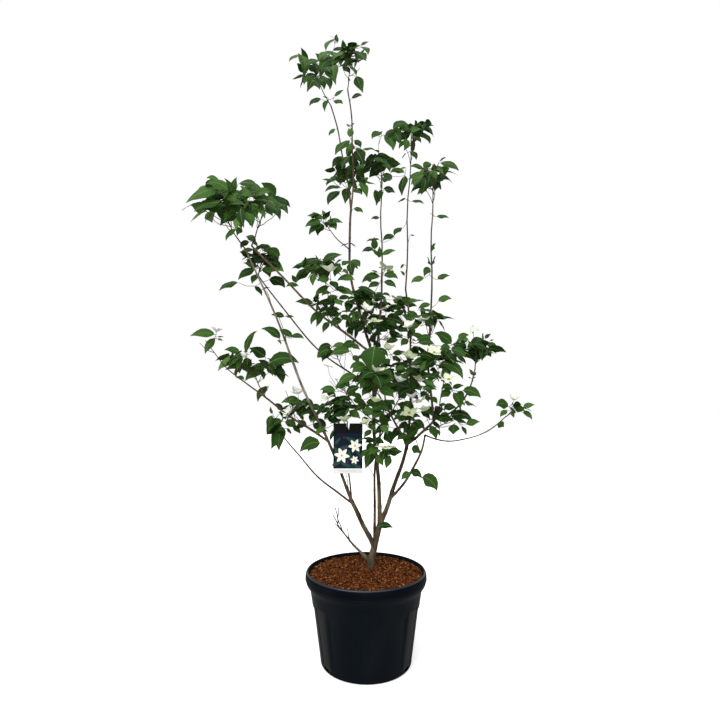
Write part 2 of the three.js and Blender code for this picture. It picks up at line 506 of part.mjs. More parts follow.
// One mass: the shoot, its twigs, pairs of leaves near the end of each, and its flowers
function growMass(mass, masses, limbs, tag) {
  const random = seededRandom(mass.seed);
  const centre = vector(mass.centre);
  let solid = mass.shoot.tube;
  // Its neighbours are the tag, the finished masses and the shoots of those still to grow
  const neighbours = masses.filter((other) => other !== mass).map((other) => other.solid ?? other.shoot.tube);
  const clearOfNeighbours = (piece) => [...neighbours, tag].every(
    (other) => piece.minGap(other, 2 * GAP) > GAP,
  );

  // The first of ever smaller leaves that keeps clear is added. Where none does, the leaf is skipped.
  const addLeaf = (root, direction, roll) => {
    const normal = UP.clone().addScaledVector(direction, -UP.dot(direction)).normalize();
    normal.applyAxisAngle(direction, roll);
    const full = LEAF.length * (0.88 + 0.24 * random());
    for (const share of LEAF.shares) {
      const leaf = leafAt(root, direction, normal, full * share);
      if (!keepsClear(leaf.points, mass, masses, limbs)) {
        continue;
      }
      const blade = solidOf(leaf.geometry);
      if (blade.intersect(solid).volume() < ROOT_VOLUME && clearOfNeighbours(blade)) {
        solid = solid.add(blade);
        return;
      }
    }
  };

  // Opposite leaves at one place of a stem, turned round it, pointing out and a little ahead
  const addPair = (curve, share, turn, ahead) => {
    const tangent = curve.getTangent(share);
    const level = new THREE.Vector3(-tangent.y, tangent.x, 0.02).normalize();
    const upright = new THREE.Vector3().crossVectors(tangent, level).normalize();
    for (const side of [0, Math.PI]) {
      const direction = tangent.clone().multiplyScalar(ahead)
        .addScaledVector(level, Math.cos(turn + side))
        .addScaledVector(upright, Math.sin(turn + side));
      direction.z = 0.55 * direction.z - 0.08 - 0.25 * random();
      addLeaf(curve.getPoint(share), direction.normalize(), 0.7 * (random() - 0.5));
    }
  };

  const twigs = [];
  for (let i = 0; i < mass.twigs; i += 1) {
    const height = 1 - (2 * (i + 0.5)) / mass.twigs;
    const ring = Math.sqrt(1 - height * height);
    const turn = i * GOLDEN_ANGLE + mass.seed;
    const outward = new THREE.Vector3(Math.cos(turn) * ring, Math.sin(turn) * ring, height);
    const reach = mass.size.map((half) => Math.max(half - TWIG.leafRoom, TWIG.leastReach * half));
    const tip = outward.multiply(vector(reach)).add(centre);
    const along = mass.shoot.length - (0.3 + 0.25 * (1 - height)) * Math.min(...mass.size);
    const foot = mass.shoot.curve.getPoint(Math.max(0.3, along / mass.shoot.length));
    const bow = new THREE.Vector3(0, 0, -0.1 * foot.distanceTo(tip));
    const twig = new LimbCurve(foot, tip, bow, 0.02);
    const radiusAt = (share) => THREE.MathUtils.lerp(TWIG.radius, TWIG.tipRadius, share);
    const tube = bentTube(twig, radiusAt, TWIG.sides, TWIG.steps);
    if (keepsClear(twig.getPoints(12).slice(2), mass, masses, limbs) && clearOfNeighbours(tube)) {
      solid = solid.add(tube);
      twigs.push({ curve: twig, turn: random() * Math.PI, carriesBloom: height > -0.5 });
    }
  }
  for (const twig of twigs.filter((one) => one.carriesBloom).slice(0, mass.blooms ?? 0)) {
    const bloom = bloomAt(twig.curve.getPoint(BLOOM.place), twig.turn);
    const flower = bentTube(bloom.stalk, () => TWIG.tipRadius, TWIG.sides, 1).add(solidOf(bloom.geometry));
    if (keepsClear(bloom.points, mass, masses, limbs) && clearOfNeighbours(flower)) {
      solid = solid.add(flower);
    }
  }
  twigs.forEach((twig) => TWIG_PAIRS.forEach((place, pair) => {
    addPair(twig.curve, place.share, twig.turn + (pair * Math.PI) / 2, place.ahead);
  }));
  const firstTurn = random() * Math.PI;
  WHORL.forEach((place, i) => {
    addPair(mass.shoot.curve, 1 - place.back / mass.shoot.length, firstTurn + (i * Math.PI) / 2, place.ahead);
  });
  for (let pair = 0; pair < (mass.pairs ?? 0); pair += 1) {
    const share = SLEEVE_LEAVES.from + (SLEEVE_LEAVES.over * (pair + 0.3 * random())) / mass.pairs;
    addPair(mass.shoot.curve, share, (pair * Math.PI) / 2 + random(), SLEEVE_LEAVES.ahead);
  }
  for (const limb of limbs.values()) {
    solid = solid.subtract(limb.grown);
  }
  mass.solid = mainBody(mainBody(solid).asOriginal().simplify(CLEAN_UP));
  return mass.solid;
}

// Picture tag: a rounded plate with a slot at its top and a tie round the shoot
function makeTag(limbs) {
  const shoot = limbs.get('tag_shoot');
  const outline = new THREE.Shape();
  const halfWidth = TAG.width / 2;
  outline.moveTo(-halfWidth, -TAG.height);
  outline.lineTo(halfWidth, -TAG.height);
  outline.lineTo(halfWidth, 0);
  outline.lineTo(TAG.slotHalf, 0);
  outline.lineTo(TAG.slotFloorHalf, -TAG.slotDepth);
  outline.lineTo(-TAG.slotFloorHalf, -TAG.slotDepth);
  outline.lineTo(-TAG.slotHalf, 0);
  outline.lineTo(-halfWidth, 0);
  outline.closePath();
  const plate = new THREE.ExtrudeGeometry(outline, { depth: TAG.thickness, bevelEnabled: false });
  plate.rotateX(Math.PI / 2);
  plate.translate(TAG.middle, TAG.front, TAG.top);
  const knot = shoot.curve.getPoint(TAG.hangs);
  const ring = new THREE.TorusGeometry(TIE.ring, TIE.cord, 5, 10);
  ring.translate(knot.x, knot.y, knot.z);
  const tieStart = new THREE.Vector3(knot.x, knot.y - TIE.ring, knot.z);
  const tieEnd = new THREE.Vector3(TAG.middle + 14, TAG.front - TAG.thickness / 2, TAG.top - 22);
  const tie = new LimbCurve(tieStart, tieEnd, new THREE.Vector3(0, 0, 4));
  return solidOf(plate)
    .add(solidOf(ring))
    .add(bentTube(tie, () => TIE.cord, 5, 2))
    .subtract(shoot.grown);
}

const plant = new THREE.Group();
plant.add(meshOf('pot', makePot(), POT_PLASTIC));
plant.add(meshOf('root_ball', makeRootBall(), COMPOST));
plant.add(meshOf('bark_mulch', makeMulch(), BARK_MULCH));

const limbs = makeLimbs();
for (const limb of limbs.values()) {
  const thick = limb.radiusAt(0) > 7;
  const bark = limb.name === 'dead_shoot' ? DEAD_BARK : thick ? BARK : SHOOT_BARK;
  plant.add(meshOf(limb.name, limb.solid, bark));
}

const tag = makeTag(limbs);
plant.add(meshOf('picture_tag', tag, TAG_CARD));

MASSES.forEach((mass, i) => addShoot(mass, limbs, i + 1));
for (const mass of MASSES) {
  plant.add(meshOf(mass.name, growMass(mass, MASSES, limbs, tag), LEAF_GREEN));
}

export default plant;
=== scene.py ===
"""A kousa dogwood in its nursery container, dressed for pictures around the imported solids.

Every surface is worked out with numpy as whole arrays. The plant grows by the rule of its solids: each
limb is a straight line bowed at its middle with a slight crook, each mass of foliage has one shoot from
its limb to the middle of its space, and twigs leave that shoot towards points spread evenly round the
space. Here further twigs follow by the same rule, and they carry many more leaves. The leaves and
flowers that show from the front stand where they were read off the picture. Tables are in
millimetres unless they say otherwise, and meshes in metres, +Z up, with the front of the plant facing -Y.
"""
from math import radians

import bpy
import numpy as np
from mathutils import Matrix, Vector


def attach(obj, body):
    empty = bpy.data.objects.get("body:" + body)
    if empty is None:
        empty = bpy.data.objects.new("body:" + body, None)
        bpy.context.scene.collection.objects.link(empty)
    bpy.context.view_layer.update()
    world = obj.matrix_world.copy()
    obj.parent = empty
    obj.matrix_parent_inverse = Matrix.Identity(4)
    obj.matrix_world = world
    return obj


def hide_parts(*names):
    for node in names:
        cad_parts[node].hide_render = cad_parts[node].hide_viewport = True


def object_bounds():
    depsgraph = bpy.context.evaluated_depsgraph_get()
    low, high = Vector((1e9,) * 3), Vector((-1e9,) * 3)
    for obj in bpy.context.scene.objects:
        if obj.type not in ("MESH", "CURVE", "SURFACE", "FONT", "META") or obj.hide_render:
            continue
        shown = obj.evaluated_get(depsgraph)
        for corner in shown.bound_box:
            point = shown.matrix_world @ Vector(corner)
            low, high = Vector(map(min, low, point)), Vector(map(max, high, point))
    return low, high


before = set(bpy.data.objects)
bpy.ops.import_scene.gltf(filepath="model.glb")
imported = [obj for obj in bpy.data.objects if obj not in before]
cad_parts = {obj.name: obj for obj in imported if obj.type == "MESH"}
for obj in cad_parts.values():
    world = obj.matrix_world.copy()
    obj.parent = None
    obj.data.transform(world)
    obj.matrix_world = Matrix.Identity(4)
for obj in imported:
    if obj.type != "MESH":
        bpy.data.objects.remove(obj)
CAD_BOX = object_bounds()

MM = 0.001
GOLDEN_ANGLE = np.pi * (3 - np.sqrt(5))
UP = np.array([0.0, 0.0, 1.0])

# The camera: its place in metres, how many degrees it looks up, and its lens and sensor. The picture is
# 720 wide and high, so this is its middle in pixels and how many pixels a slope of 1 takes up.
EYE = (-0.03, -2.42, 1.19)
LOOK_UP = 7.1
LENS = 22.8
SENSOR = 36
PICTURE_MIDDLE = 360
PICTURE_SCALE = 720 * LENS / SENSOR

# The limbs, as in the solids: the trunk's foot, tip, bow, and radii at foot and tip, then each bough
# with its parent, the share of the parent's length where it leaves, its tip, its bow and its radii
TRUNK = ("trunk", (22, 60, 403), (75, 55, 635), (-4, 2, 0), (19, 15.5))
ROOT_FLARE = (6, 38)
BOUGHS = [
    ("left_stem", "trunk", 0.5, (-75, 20, 760), (0, 6, -4), (13, 10.5)),
    ("centre_stem", "trunk", 1, (25, 30, 1575), (2, 16, 0), (11.5, 6.5)),
    ("right_stem", "trunk", 0.95, (220, 10, 1050), (6, 6, -6), (12, 8.5)),
    ("back_stem", "trunk", 0.55, (120, 300, 1290), (-24, 22, 0), (8, 4.5)),
    ("dead_shoot", "trunk", 0.14, (-165, 110, 625), (4, 4, -8), (5, 2)),
    ("left_leader", "left_stem", 1, (-540, -460, 1930), (0, 52, 0), (10, 4.2)),
    ("left_low_shoot", "left_stem", 0.93, (-445, 160, 1065), (0, 0, -30), (5, 3)),
    ("tag_shoot", "left_stem", 0.98, (-95, -60, 1165), (-8, -4, 0), (4.2, 2.6)),
    ("left_low_branch", "left_leader", 0.26, (-590, -190, 1355), (8, 8, -14), (5.5, 3)),
    ("right_inner", "right_stem", 0.97, (70, -115, 1290), (8, 10, 0), (5.5, 3.5)),
    ("right_outer", "right_stem", 1, (380, 0, 1195), (4, 0, -8), (7.5, 5.5)),
    ("right_low", "right_stem", 0.34, (310, 0, 1095), (30, -34, 0), (6, 4)),
    ("far_right_arch", "right_low", 1, (765, 90, 1190), (0, 0, -72), (3.6, 2.2)),
    ("right_reach", "right_outer", 1, (590, 30, 1440), (20, 0, -60), (4.6, 2.8)),
    ("tall_right_stem", "right_outer", 0.86, (335, -130, 1745), (-22, -16, 0), (5.2, 4)),
    ("tall_middle_stem", "right_stem", 0.9, (232, 130, 1915), (34, 22, 0), (6, 4)),
    ("upright_stem", "centre_stem", 0.62, (96, 120, 2010), (6, 24, 0), (6, 4.6)),
    ("main_leader", "centre_stem", 1, (-80, 0, 2335), (-48, -8, 0), (6.4, 5)),
    ("top_left_stem", "main_leader", 1, (-200, 60, 3005), (14, 0, 0), (4.2, 3)),
    ("top_right_stem", "main_leader", 0.99, (-100, -60, 3020), (22, -14, 0), (4.2, 3)),
    ("left_arch", "centre_stem", 0.96, (-525, -420, 1965), (0, 0, -30), (5.5, 3.5)),
    ("thin_left_arch", "centre_stem", 0.77, (-530, -250, 1880), (0, 0, -80), (4, 2.6)),
]
OLD_WOOD = ["left_stem", "centre_stem", "right_stem", "back_stem", "left_leader", "right_outer"]

# The masses of foliage, as in the solids: limb, share of its length, centre, half axes and twigs.
# Then the finer growth of this file: further twigs, leaf length and how light its greens are, which is
# painted light and shade: lighter greens where a mass is lit, darker where it is shaded.
MASSES = [
    ("top_left_spray", "top_left_stem", 1, (-300, 70, 3250), (165, 135, 130), 4, 1, 96, 0.05),
    ("top_right_spray", "top_right_stem", 1, (-85, -25, 3220), (140, 140, 140), 4, 1, 96, 0.05),
    ("upper_middle_spray", "main_leader", 0.96, (-92, 72, 2562), (140, 170, 195), 4, 3, 98, 0.1),
    ("upright_spray", "upright_stem", 1, (95, 130, 2660), (115, 150, 175), 4, 1, 96, 0.1),
    ("tall_middle_spray", "tall_middle_stem", 1, (280, 150, 2890), (140, 145, 115), 3, 1, 96, 0.05),
    ("tall_right_spray", "tall_right_stem", 1, (355, -146, 2444), (150, 150, 115), 3, 1, 96, 0.15),
    ("canopy_front", "left_leader", 1, (-640, -510, 2110), (165, 170, 140), 4, 4, 112, 0.42),
    ("canopy_back", "left_arch", 1, (-480, -390, 2165), (140, 170, 140), 4, 3, 100, 0.3),
    ("canopy_tuft", "thin_left_arch", 1, (-520, -235, 1960), (115, 120, 115), 3, 2, 84, 0.15),
    ("slender_spray", "main_leader", 0.7, (-228, -70, 2240), (112, 110, 78), 3, 0, 80, 0.25),
    ("middle_left_upper", "left_arch", 0.3, (-215, -300, 1905), (135, 140, 95), 4, 2, 100, 0.22),
    ("middle_left_lower", "left_arch", 0.12, (-195, -150, 1725), (120, 140, 135), 4, 2, 96, 0.1),
    ("middle_crown", "main_leader", 0.12, (-5, -130, 1785), (120, 140, 115), 4, 2, 96, 0.15),
    ("middle_right_upper", "tall_middle_stem", 0.72, (225, 140, 1805), (135, 140, 115), 4, 0, 96, 0.05),
    ("middle_right_front", "tall_right_stem", 0.62, (335, -150, 1680), (130, 140, 112), 4, 1, 96, 0.12),
    ("right_shoulder", "right_outer", 0.95, (395, -200, 1470), (120, 150, 135), 4, 2, 98, 0.03),
    ("right_tip", "right_reach", 1, (600, 30, 1555), (128, 125, 100), 4, 2, 96, 0.07),
    ("far_right_tip", "far_right_arch", 1, (810, 92, 1235), (125, 110, 80), 2, 0, 92, 0.3),
    ("right_fringe", "right_outer", 0.55, (440, -60, 1180), (145, 130, 105), 3, 0, 96, 0.15),
    ("heart_left", "thin_left_arch", 0.25, (-150, -200, 1500), (115, 130, 80), 3, 0, 96, 0.3),
    ("heart_right", "tall_middle_stem", 0.25, (245, 0, 1420), (140, 150, 225), 5, 5, 94, 0.02),
    ("heart_centre", "right_inner", 1, (25, -220, 1370), (120, 170, 165), 4, 3, 100, 0.15),
    ("front_low", "tag_shoot", 1, (-145, -60, 1245), (125, 125, 90), 4, 4, 96, 0.12),
    ("left_low", "left_low_branch", 0.3, (-345, -65, 1230), (118, 120, 102), 3, 2, 96, 0.15),
    ("left_outer", "left_low_branch", 0.78, (-570, -170, 1450), (190, 140, 120), 4, 2, 104, 0.3),
    ("left_far_tip", "left_low_branch", 1, (-775, -250, 1555), (100, 105, 90), 2, 0, 96, 0.4),
    ("left_hanging", "left_low_shoot", 1, (-475, 160, 1110), (105, 120, 110), 3, 0, 96, 0.15),
    ("low_centre", "centre_stem", 0.36, (70, -150, 1030), (120, 140, 115), 3, 0, 98, 0.2),
    ("low_right", "right_low", 0.45, (295, -50, 885), (95, 100, 78), 2, 0, 90, 0.3),
    ("back_upper", "back_stem", 1, (80, 420, 1800), (190, 180, 190), 4, 5, 104, 0.1),
    ("back_left", "back_stem", 0.8, (-180, 330, 1420), (170, 180, 160), 4, 0, 88, 0.1),
    ("back_right", "back_stem", 0.7, (260, 380, 1400), (170, 170, 170), 4, 5, 104, 0.1),
]

# Masses with further twigs on their far side
DEEP = ["top_left_spray", "top_right_spray", "upper_middle_spray", "upright_spray", "tall_middle_spray",
        "tall_right_spray", "canopy_front", "canopy_tuft", "middle_left_upper", "middle_crown",
        "middle_right_front", "right_shoulder", "right_tip", "left_outer", "left_low", "heart_centre"]

# How limbs and twigs grow: the gap that a limb leaves at its parent's tip and its crook as a share of its
# length, the room between a twig's tip and its mass's edge and the least that it reaches as a share of
# the half axes, how long a shoot is before it stands straight, and the shortest stalk that is drawn
GAP = 0.3
CROOK = 0.008
LEAF_ROOM = 78
LEAST_REACH = 0.3
LONG_SHOOT = 400
LEAST_STALK = 6
TWIG_STEPS = 8
LONG_SHOOT_RADII = (4.6, 2.8)
SHOOT_RADII = (3.4, 1.8)
TWIG_RADII = (2.0, 1.3)
FINE_RADII = (1.8, 1.1)
SIDE_TWIG_RADII = (1.8, 1.2)
LEAF_STALK_RADII = (1.5, 1.0)
FLOWER_STALK_RADII = (1.4, 1.1)

# How light the greens are on the limbs themselves, painted light and shade as for the masses, and where the
# streams of random draws start
LIMB_LIGHT = 0.3
PLACED_LIMB_LIGHT = 0.35
GROWTH_SEED = 7
DEPTH_SEED = 3

# Side twigs with leaves along the limbs: limb, from and to by share of its length, the distance from
# one to the next, the twig's own length and the leaf length
LEAFY_STRETCHES = [
    ("left_arch", 0.12, 0.36, 120, 56, 84),
    ("main_leader", 0.04, 0.30, 90, 60, 86),
    ("main_leader", 0.58, 0.94, 150, 20, 60),
    ("tall_right_stem", 0.06, 0.36, 84, 60, 86),
    ("tall_middle_stem", 0.10, 0.40, 80, 60, 86),
    ("upright_stem", 0.30, 0.60, 100, 54, 84),
    ("right_outer", 0.06, 0.98, 100, 60, 82),
    ("right_reach", 0.20, 0.60, 104, 40, 84),
    ("right_inner", 0.35, 0.95, 80, 60, 88),
    ("centre_stem", 0.44, 0.97, 88, 64, 86),
    ("tag_shoot", 0.80, 0.98, 60, 40, 82),
]

# Leaves that show from the front, by the mass that they belong to, in the picture's pixels from its left
# and top: the root and the tip as read off the picture, and for most how broad the leaf looks. 0 says a
# short leaf, and the one with a sixth number faces the front.
SEEN_LEAVES = {
    "canopy_front": [
        (222, 188, 186, 203, 15), (219, 180, 206, 178, 6), (222, 203, 194, 212, 12),
        (230, 198, 200, 199, 11), (240, 214, 220, 226, 13), (238, 208, 224, 222, 9),
        (237, 229, 226, 241, 9), (242, 229, 237, 236, 5), (232, 197, 224, 178, 9), (233, 196, 237, 177, 10),
        (241, 208, 244, 228, 8), (236, 203, 214, 192, 12), (234, 200, 258, 192, 13),
        (238, 184, 258, 187, 5), (228, 190, 206, 184, 12), (226, 196, 208, 196, 9), (236, 210, 230, 218, 0),
        (244, 214, 250, 226, 8), (240, 200, 226, 208, 10), (238, 212, 222, 198, 12),
        (240, 214, 230, 200, 12), (240, 206, 246, 220, 11), (236, 218, 226, 212, 10),
        (232, 212, 218, 208, 10), (244, 218, 236, 230, 10), (214, 188, 196, 196, 12),
        (250, 198, 240, 186, 12), (246, 212, 252, 228, 10), (240, 214, 242, 229, 11),
    ],
    "canopy_back": [
        (256, 198, 268, 190, 9), (266, 196, 275, 203, 6), (262, 202, 288, 214, 8), (266, 205, 280, 220, 8),
        (250, 202, 265, 219, 10), (247, 204, 257, 220, 9), (245, 208, 252, 227, 9),
        (240, 194, 262, 196, 12), (246, 186, 262, 190, 8), (250, 196, 268, 202, 10),
        (244, 190, 256, 184, 7), (244, 210, 250, 194, 12), (246, 206, 258, 214, 12),
        (248, 206, 262, 208, 11), (252, 212, 242, 204, 10),
    ],
    "canopy_tuft": [
        (260, 262, 250, 256), (262, 262, 272, 266), (262, 268, 270, 278), (258, 274, 252, 284),
        (264, 244, 258, 250, 0), (266, 262, 260, 272), (254, 286, 262, 296, 0), (270, 262, 280, 268),
        (254, 250, 240, 253), (252, 241, 257, 247, 0), (262, 249, 270, 246, 0), (266, 252, 280, 256),
        (266, 255, 279, 263), (258, 268, 243, 263), (256, 269, 238, 280), (239, 283, 219, 291),
        (262, 271, 284, 272), (268, 280, 285, 288), (262, 290, 270, 288, 0), (252, 256, 247, 259, 0),
        (246, 236, 256, 243, 6), (262, 244, 270, 257, 8), (266, 250, 279, 259, 8), (250, 242, 241, 249, 6),
    ],
    "along_limbs": [
        (296, 283, 292, 275, 0), (299, 286, 286, 287), (314, 304, 295, 302, 6), (285, 317, 271, 315),
        (286, 317, 294, 317, 0), (292, 338, 279, 330, 7), (290, 337, 304, 339), (280, 340, 261, 329, 8),
        (277, 340, 281, 345, 0), (336, 129, 329, 136, 0), (350, 127, 346, 124, 0), (351, 127, 355, 123, 0),
        (350, 138, 349, 128, 0), (352, 137, 351, 128, 0), (411, 303, 424, 301), (438, 302, 452, 299),
        (431, 304, 418, 309), (473, 376, 469, 369, 0), (474, 376, 476, 372, 0), (471, 378, 468, 378, 0),
        (472, 379, 476, 377, 0), (472, 379, 473, 382, 0), (497, 424, 504, 427, 8), (378, 527, 393, 528, 5),
        (411, 449, 420, 454, 8),
    ],
    "left_far_tip": [
        (216, 335, 190, 336, 9), (216, 338, 205, 354, 7), (217, 337, 224, 337, 0), (217, 339, 223, 341, 0),
    ],
    "left_outer": [
        (240, 354, 224, 350, 7), (241, 358, 218, 371, 10), (243, 357, 237, 372, 9), (247, 357, 246, 372, 9),
        (246, 354, 257, 331, 10), (250, 354, 258, 349, 0), (266, 367, 245, 381, 14),
        (268, 370, 258, 360, 8), (268, 364, 299, 363, 7), (277, 366, 283, 384, 10), (268, 366, 273, 376, 8),
        (262, 370, 264, 380, 5), (244, 380, 236, 378, 0), (266, 368, 252, 367, 8), (272, 362, 284, 366, 7),
        (248, 352, 243, 352, 0),
    ],
    "left_low": [
        (286, 420, 278, 412), (304, 420, 296, 414), (292, 426, 300, 434, 0), (282, 412, 274, 404),
        (269, 386, 258, 402), (300, 400, 281, 403), (294, 406, 280, 414), (301, 401, 314, 408),
        (300, 405, 294, 412), (297, 408, 287, 420), (304, 404, 301, 416), (297, 421, 307, 428),
        (310, 407, 322, 411), (312, 412, 311, 423), (318, 415, 313, 424), (314, 410, 300, 417),
    ],
    "left_hanging": [
        (273, 414, 271, 406, 0), (283, 420, 267, 435, 12), (272, 415, 268, 430), (284, 422, 296, 429),
        (281, 425, 271, 449), (282, 425, 279, 451), (286, 428, 291, 435, 0),
    ],
    "front_low": [
        (326, 428, 314, 419), (328, 432, 317, 426), (330, 441, 335, 430), (334, 424, 324, 414),
        (330, 418, 340, 424), (324, 420, 334, 412), (331, 410, 321, 414), (334, 409, 338, 403, 0),
        (349, 405, 333, 411), (350, 410, 331, 419), (321, 410, 333, 411), (345, 414, 352, 402),
        (321, 443, 300, 452), (315, 440, 303, 442, 0), (321, 443, 308, 452), (306, 424, 296, 430, 6),
        (312, 424, 322, 432, 7), (326, 428, 316, 436, 6),
    ],
    "top_left_spray": [
        (336, 39, 326, 51, 7), (334, 38, 328, 36, 0), (338, 43, 337, 34, 0), (332, 51, 346, 49, 6),
        (331, 52, 319, 60, 10), (325, 51, 340, 63, 11), (320, 61, 305, 67, 8), (338, 66, 319, 63, 8),
        (334, 65, 336, 85, 10), (315, 62, 315, 78, 6), (316, 76, 304, 85, 9), (316, 77, 307, 92, 9),
        (316, 78, 324, 90, 7), (320, 75, 331, 88, 10), (323, 69, 330, 73, 5), (300, 55, 303, 78, 9),
        (300, 55, 289, 62, 6), (322, 99, 309, 106, 7), (328, 100, 325, 112, 6), (334, 97, 344, 90, 6),
        (333, 101, 343, 104, 5), (328, 98, 322, 97, 0), (330, 54, 322, 66, 9), (336, 58, 326, 66, 8),
        (340, 60, 328, 70, 10), (330, 60, 322, 72, 9), (326, 62, 318, 74, 8), (322, 78, 330, 90, 8),
        (312, 80, 320, 90, 7),
    ],
    "top_right_spray": [
        (346, 50, 361, 46, 7), (354, 54, 366, 61, 11), (362, 47, 368, 55, 7), (361, 46, 369, 42, 0),
        (347, 62, 356, 62, 9), (346, 60, 347, 71, 7), (350, 66, 356, 76, 6), (356, 76, 363, 93, 10),
        (348, 78, 350, 82, 0), (351, 99, 362, 96, 6), (347, 54, 340, 65, 8), (345, 52, 333, 60, 8),
        (352, 58, 346, 66, 6), (342, 66, 350, 74, 6), (340, 56, 332, 66, 8), (348, 50, 338, 56, 7),
    ],
    "upper_middle_spray": [
        (352, 142, 347, 157), (354, 146, 349, 160), (356, 150, 364, 166), (354, 140, 361, 148),
        (338, 176, 326, 186), (334, 182, 322, 180), (348, 176, 340, 186), (351, 140, 335, 155),
        (344, 157, 332, 168), (350, 156, 342, 169), (356, 147, 364, 160), (362, 150, 375, 150),
        (358, 164, 347, 169), (352, 172, 340, 178), (345, 183, 330, 178), (342, 188, 325, 192),
        (341, 191, 328, 205), (347, 188, 345, 204), (356, 180, 350, 190), (360, 182, 367, 198),
        (352, 190, 362, 195), (353, 209, 363, 213),
    ],
    "upright_spray": [
        (379, 136, 383, 131, 0), (377, 160, 389, 168, 7), (405, 173, 390, 173, 7), (405, 175, 402, 196, 9),
        (382, 175, 392, 180, 8), (384, 190, 395, 193, 7), (376, 190, 376, 206, 8), (380, 190, 380, 202, 8),
        (380, 218, 371, 219), (382, 133, 372, 139), (375, 250, 374, 237, 7), (374, 249, 362, 252, 6),
        (378, 257, 371, 250), (379, 258, 379, 246, 7), (382, 256, 396, 251, 6), (380, 240, 366, 242, 0),
        (381, 277, 362, 283, 8), (378, 273, 371, 271, 0), (383, 276, 398, 279, 7), (383, 282, 396, 288, 7),
        (380, 283, 368, 288, 7), (383, 293, 390, 297, 0), (383, 298, 387, 306, 0), (372, 282, 364, 278, 6),
        (386, 270, 394, 276, 6), (373, 159, 384, 163, 6), (380, 164, 391, 170, 7), (381, 179, 391, 181, 8),
        (383, 189, 394, 192, 6), (369, 162, 360, 168, 7), (375, 190, 378, 201, 6),
    ],
    "tall_middle_spray": [
        (408, 124, 393, 130, 10), (408, 131, 402, 121, 8), (383, 135, 393, 151, 10),
        (399, 133, 385, 136, 6), (394, 132, 402, 146, 7), (409, 131, 419, 126, 9), (421, 129, 411, 134, 6),
        (421, 126, 434, 126, 5), (421, 127, 433, 135, 7), (418, 132, 430, 144, 9), (411, 137, 421, 143, 6),
        (407, 139, 404, 151, 8), (409, 141, 399, 149, 6), (410, 151, 416, 160, 7), (407, 153, 403, 159, 0),
        (406, 167, 400, 170, 0), (420, 128, 418, 122, 0), (402, 128, 396, 124, 8), (406, 199, 397, 203),
        (411, 202, 424, 204), (403, 228, 394, 236), (395, 237, 383, 241), (410, 235, 415, 236, 0),
        (404, 264, 401, 269, 0), (404, 276, 400, 271, 0),
    ],
    "tall_right_spray": [
        (424, 170, 410, 167, 6), (423, 172, 409, 180, 7), (424, 175, 411, 185, 6), (421, 179, 414, 188, 6),
        (425, 179, 421, 195, 9), (430, 179, 426, 192, 8), (431, 183, 441, 190, 7), (433, 174, 434, 163, 6),
        (434, 170, 444, 175, 5), (439, 163, 459, 171, 8), (439, 162, 446, 158, 4), (436, 171, 429, 182, 5),
        (432, 172, 423, 174, 6), (430, 213, 434, 218, 0), (436, 217, 449, 218), (432, 252, 436, 243, 7),
        (431, 266, 427, 257, 7), (432, 266, 436, 256, 7), (431, 269, 424, 277), (425, 278, 411, 283, 7),
        (437, 280, 450, 276, 6), (427, 168, 421, 178, 7), (433, 168, 443, 174, 6), (428, 172, 436, 180, 7),
        (432, 164, 424, 170, 7),
    ],
    "slender_spray": [
        (326, 222, 343, 223, 6), (326, 220, 322, 210, 0), (324, 219, 307, 216), (322, 222, 305, 227),
        (324, 224, 309, 235), (325, 225, 318, 236), (326, 219, 331, 211, 0), (320, 219, 312, 212, 0),
        (328, 224, 336, 230), (322, 226, 312, 230),
    ],
    "middle_left_upper": [
        (320, 266, 298, 267, 9), (320, 264, 315, 255, 5), (322, 262, 342, 255, 9), (321, 264, 336, 269, 8),
        (320, 268, 303, 276, 8), (311, 272, 296, 283, 9), (314, 273, 313, 286, 7), (330, 279, 317, 281, 9),
        (340, 265, 335, 277, 10), (335, 269, 341, 265, 5), (349, 275, 342, 272, 4), (355, 280, 337, 281, 5),
        (330, 286, 315, 297, 7), (331, 281, 336, 290, 9), (335, 290, 347, 290, 6), (337, 291, 353, 296, 5),
        (318, 276, 310, 272, 7), (328, 268, 320, 274, 7), (330, 292, 322, 296, 7), (334, 300, 342, 306, 7),
        (336, 266, 326, 262, 7),
    ],
    "middle_left_lower": [
        (338, 296, 326, 304, 9), (338, 299, 351, 299, 5), (320, 304, 315, 299, 6), (328, 308, 320, 303, 6),
        (320, 308, 316, 312, 5), (329, 314, 340, 310, 8), (330, 307, 328, 317, 7), (320, 311, 311, 325, 8),
        (321, 312, 316, 327, 6), (328, 312, 321, 318, 7), (330, 322, 323, 333, 6), (343, 320, 331, 327, 8),
        (346, 346, 332, 347, 7), (356, 343, 342, 348, 9), (351, 352, 330, 356, 7), (332, 348, 322, 360, 6),
        (332, 346, 318, 350, 8), (330, 350, 317, 358, 8), (334, 350, 322, 362, 7),
    ],
    "middle_crown": [
        (350, 261, 342, 266, 8), (350, 261, 360, 267, 9), (350, 263, 353, 276, 8), (350, 300, 346, 313, 9),
        (353, 298, 375, 292, 10), (355, 300, 373, 305, 9), (366, 302, 373, 314), (351, 320, 360, 313, 10),
        (362, 315, 352, 322, 8), (354, 321, 346, 328, 8), (373, 333, 382, 335, 4), (372, 334, 366, 326, 7),
        (374, 330, 378, 322, 7),
    ],
    "middle_right_upper": [
        (403, 336, 396, 336, 0), (399, 340, 385, 344, 6), (409, 340, 401, 346, 7), (418, 346, 413, 356, 8),
        (392, 354, 405, 354, 6), (392, 358, 399, 361, 5), (391, 359, 384, 371, 7), (404, 322, 414, 334, 8),
        (400, 330, 410, 322, 7), (412, 322, 402, 315, 7), (416, 330, 408, 340, 7), (402, 306, 418, 300, 7),
        (405, 311, 393, 318, 7), (406, 312, 418, 321, 8), (388, 318, 405, 327, 8), (386, 320, 395, 327, 7),
        (392, 300, 402, 306, 7), (384, 312, 396, 309, 7), (398, 330, 388, 324, 7),
    ],
    "middle_right_front": [
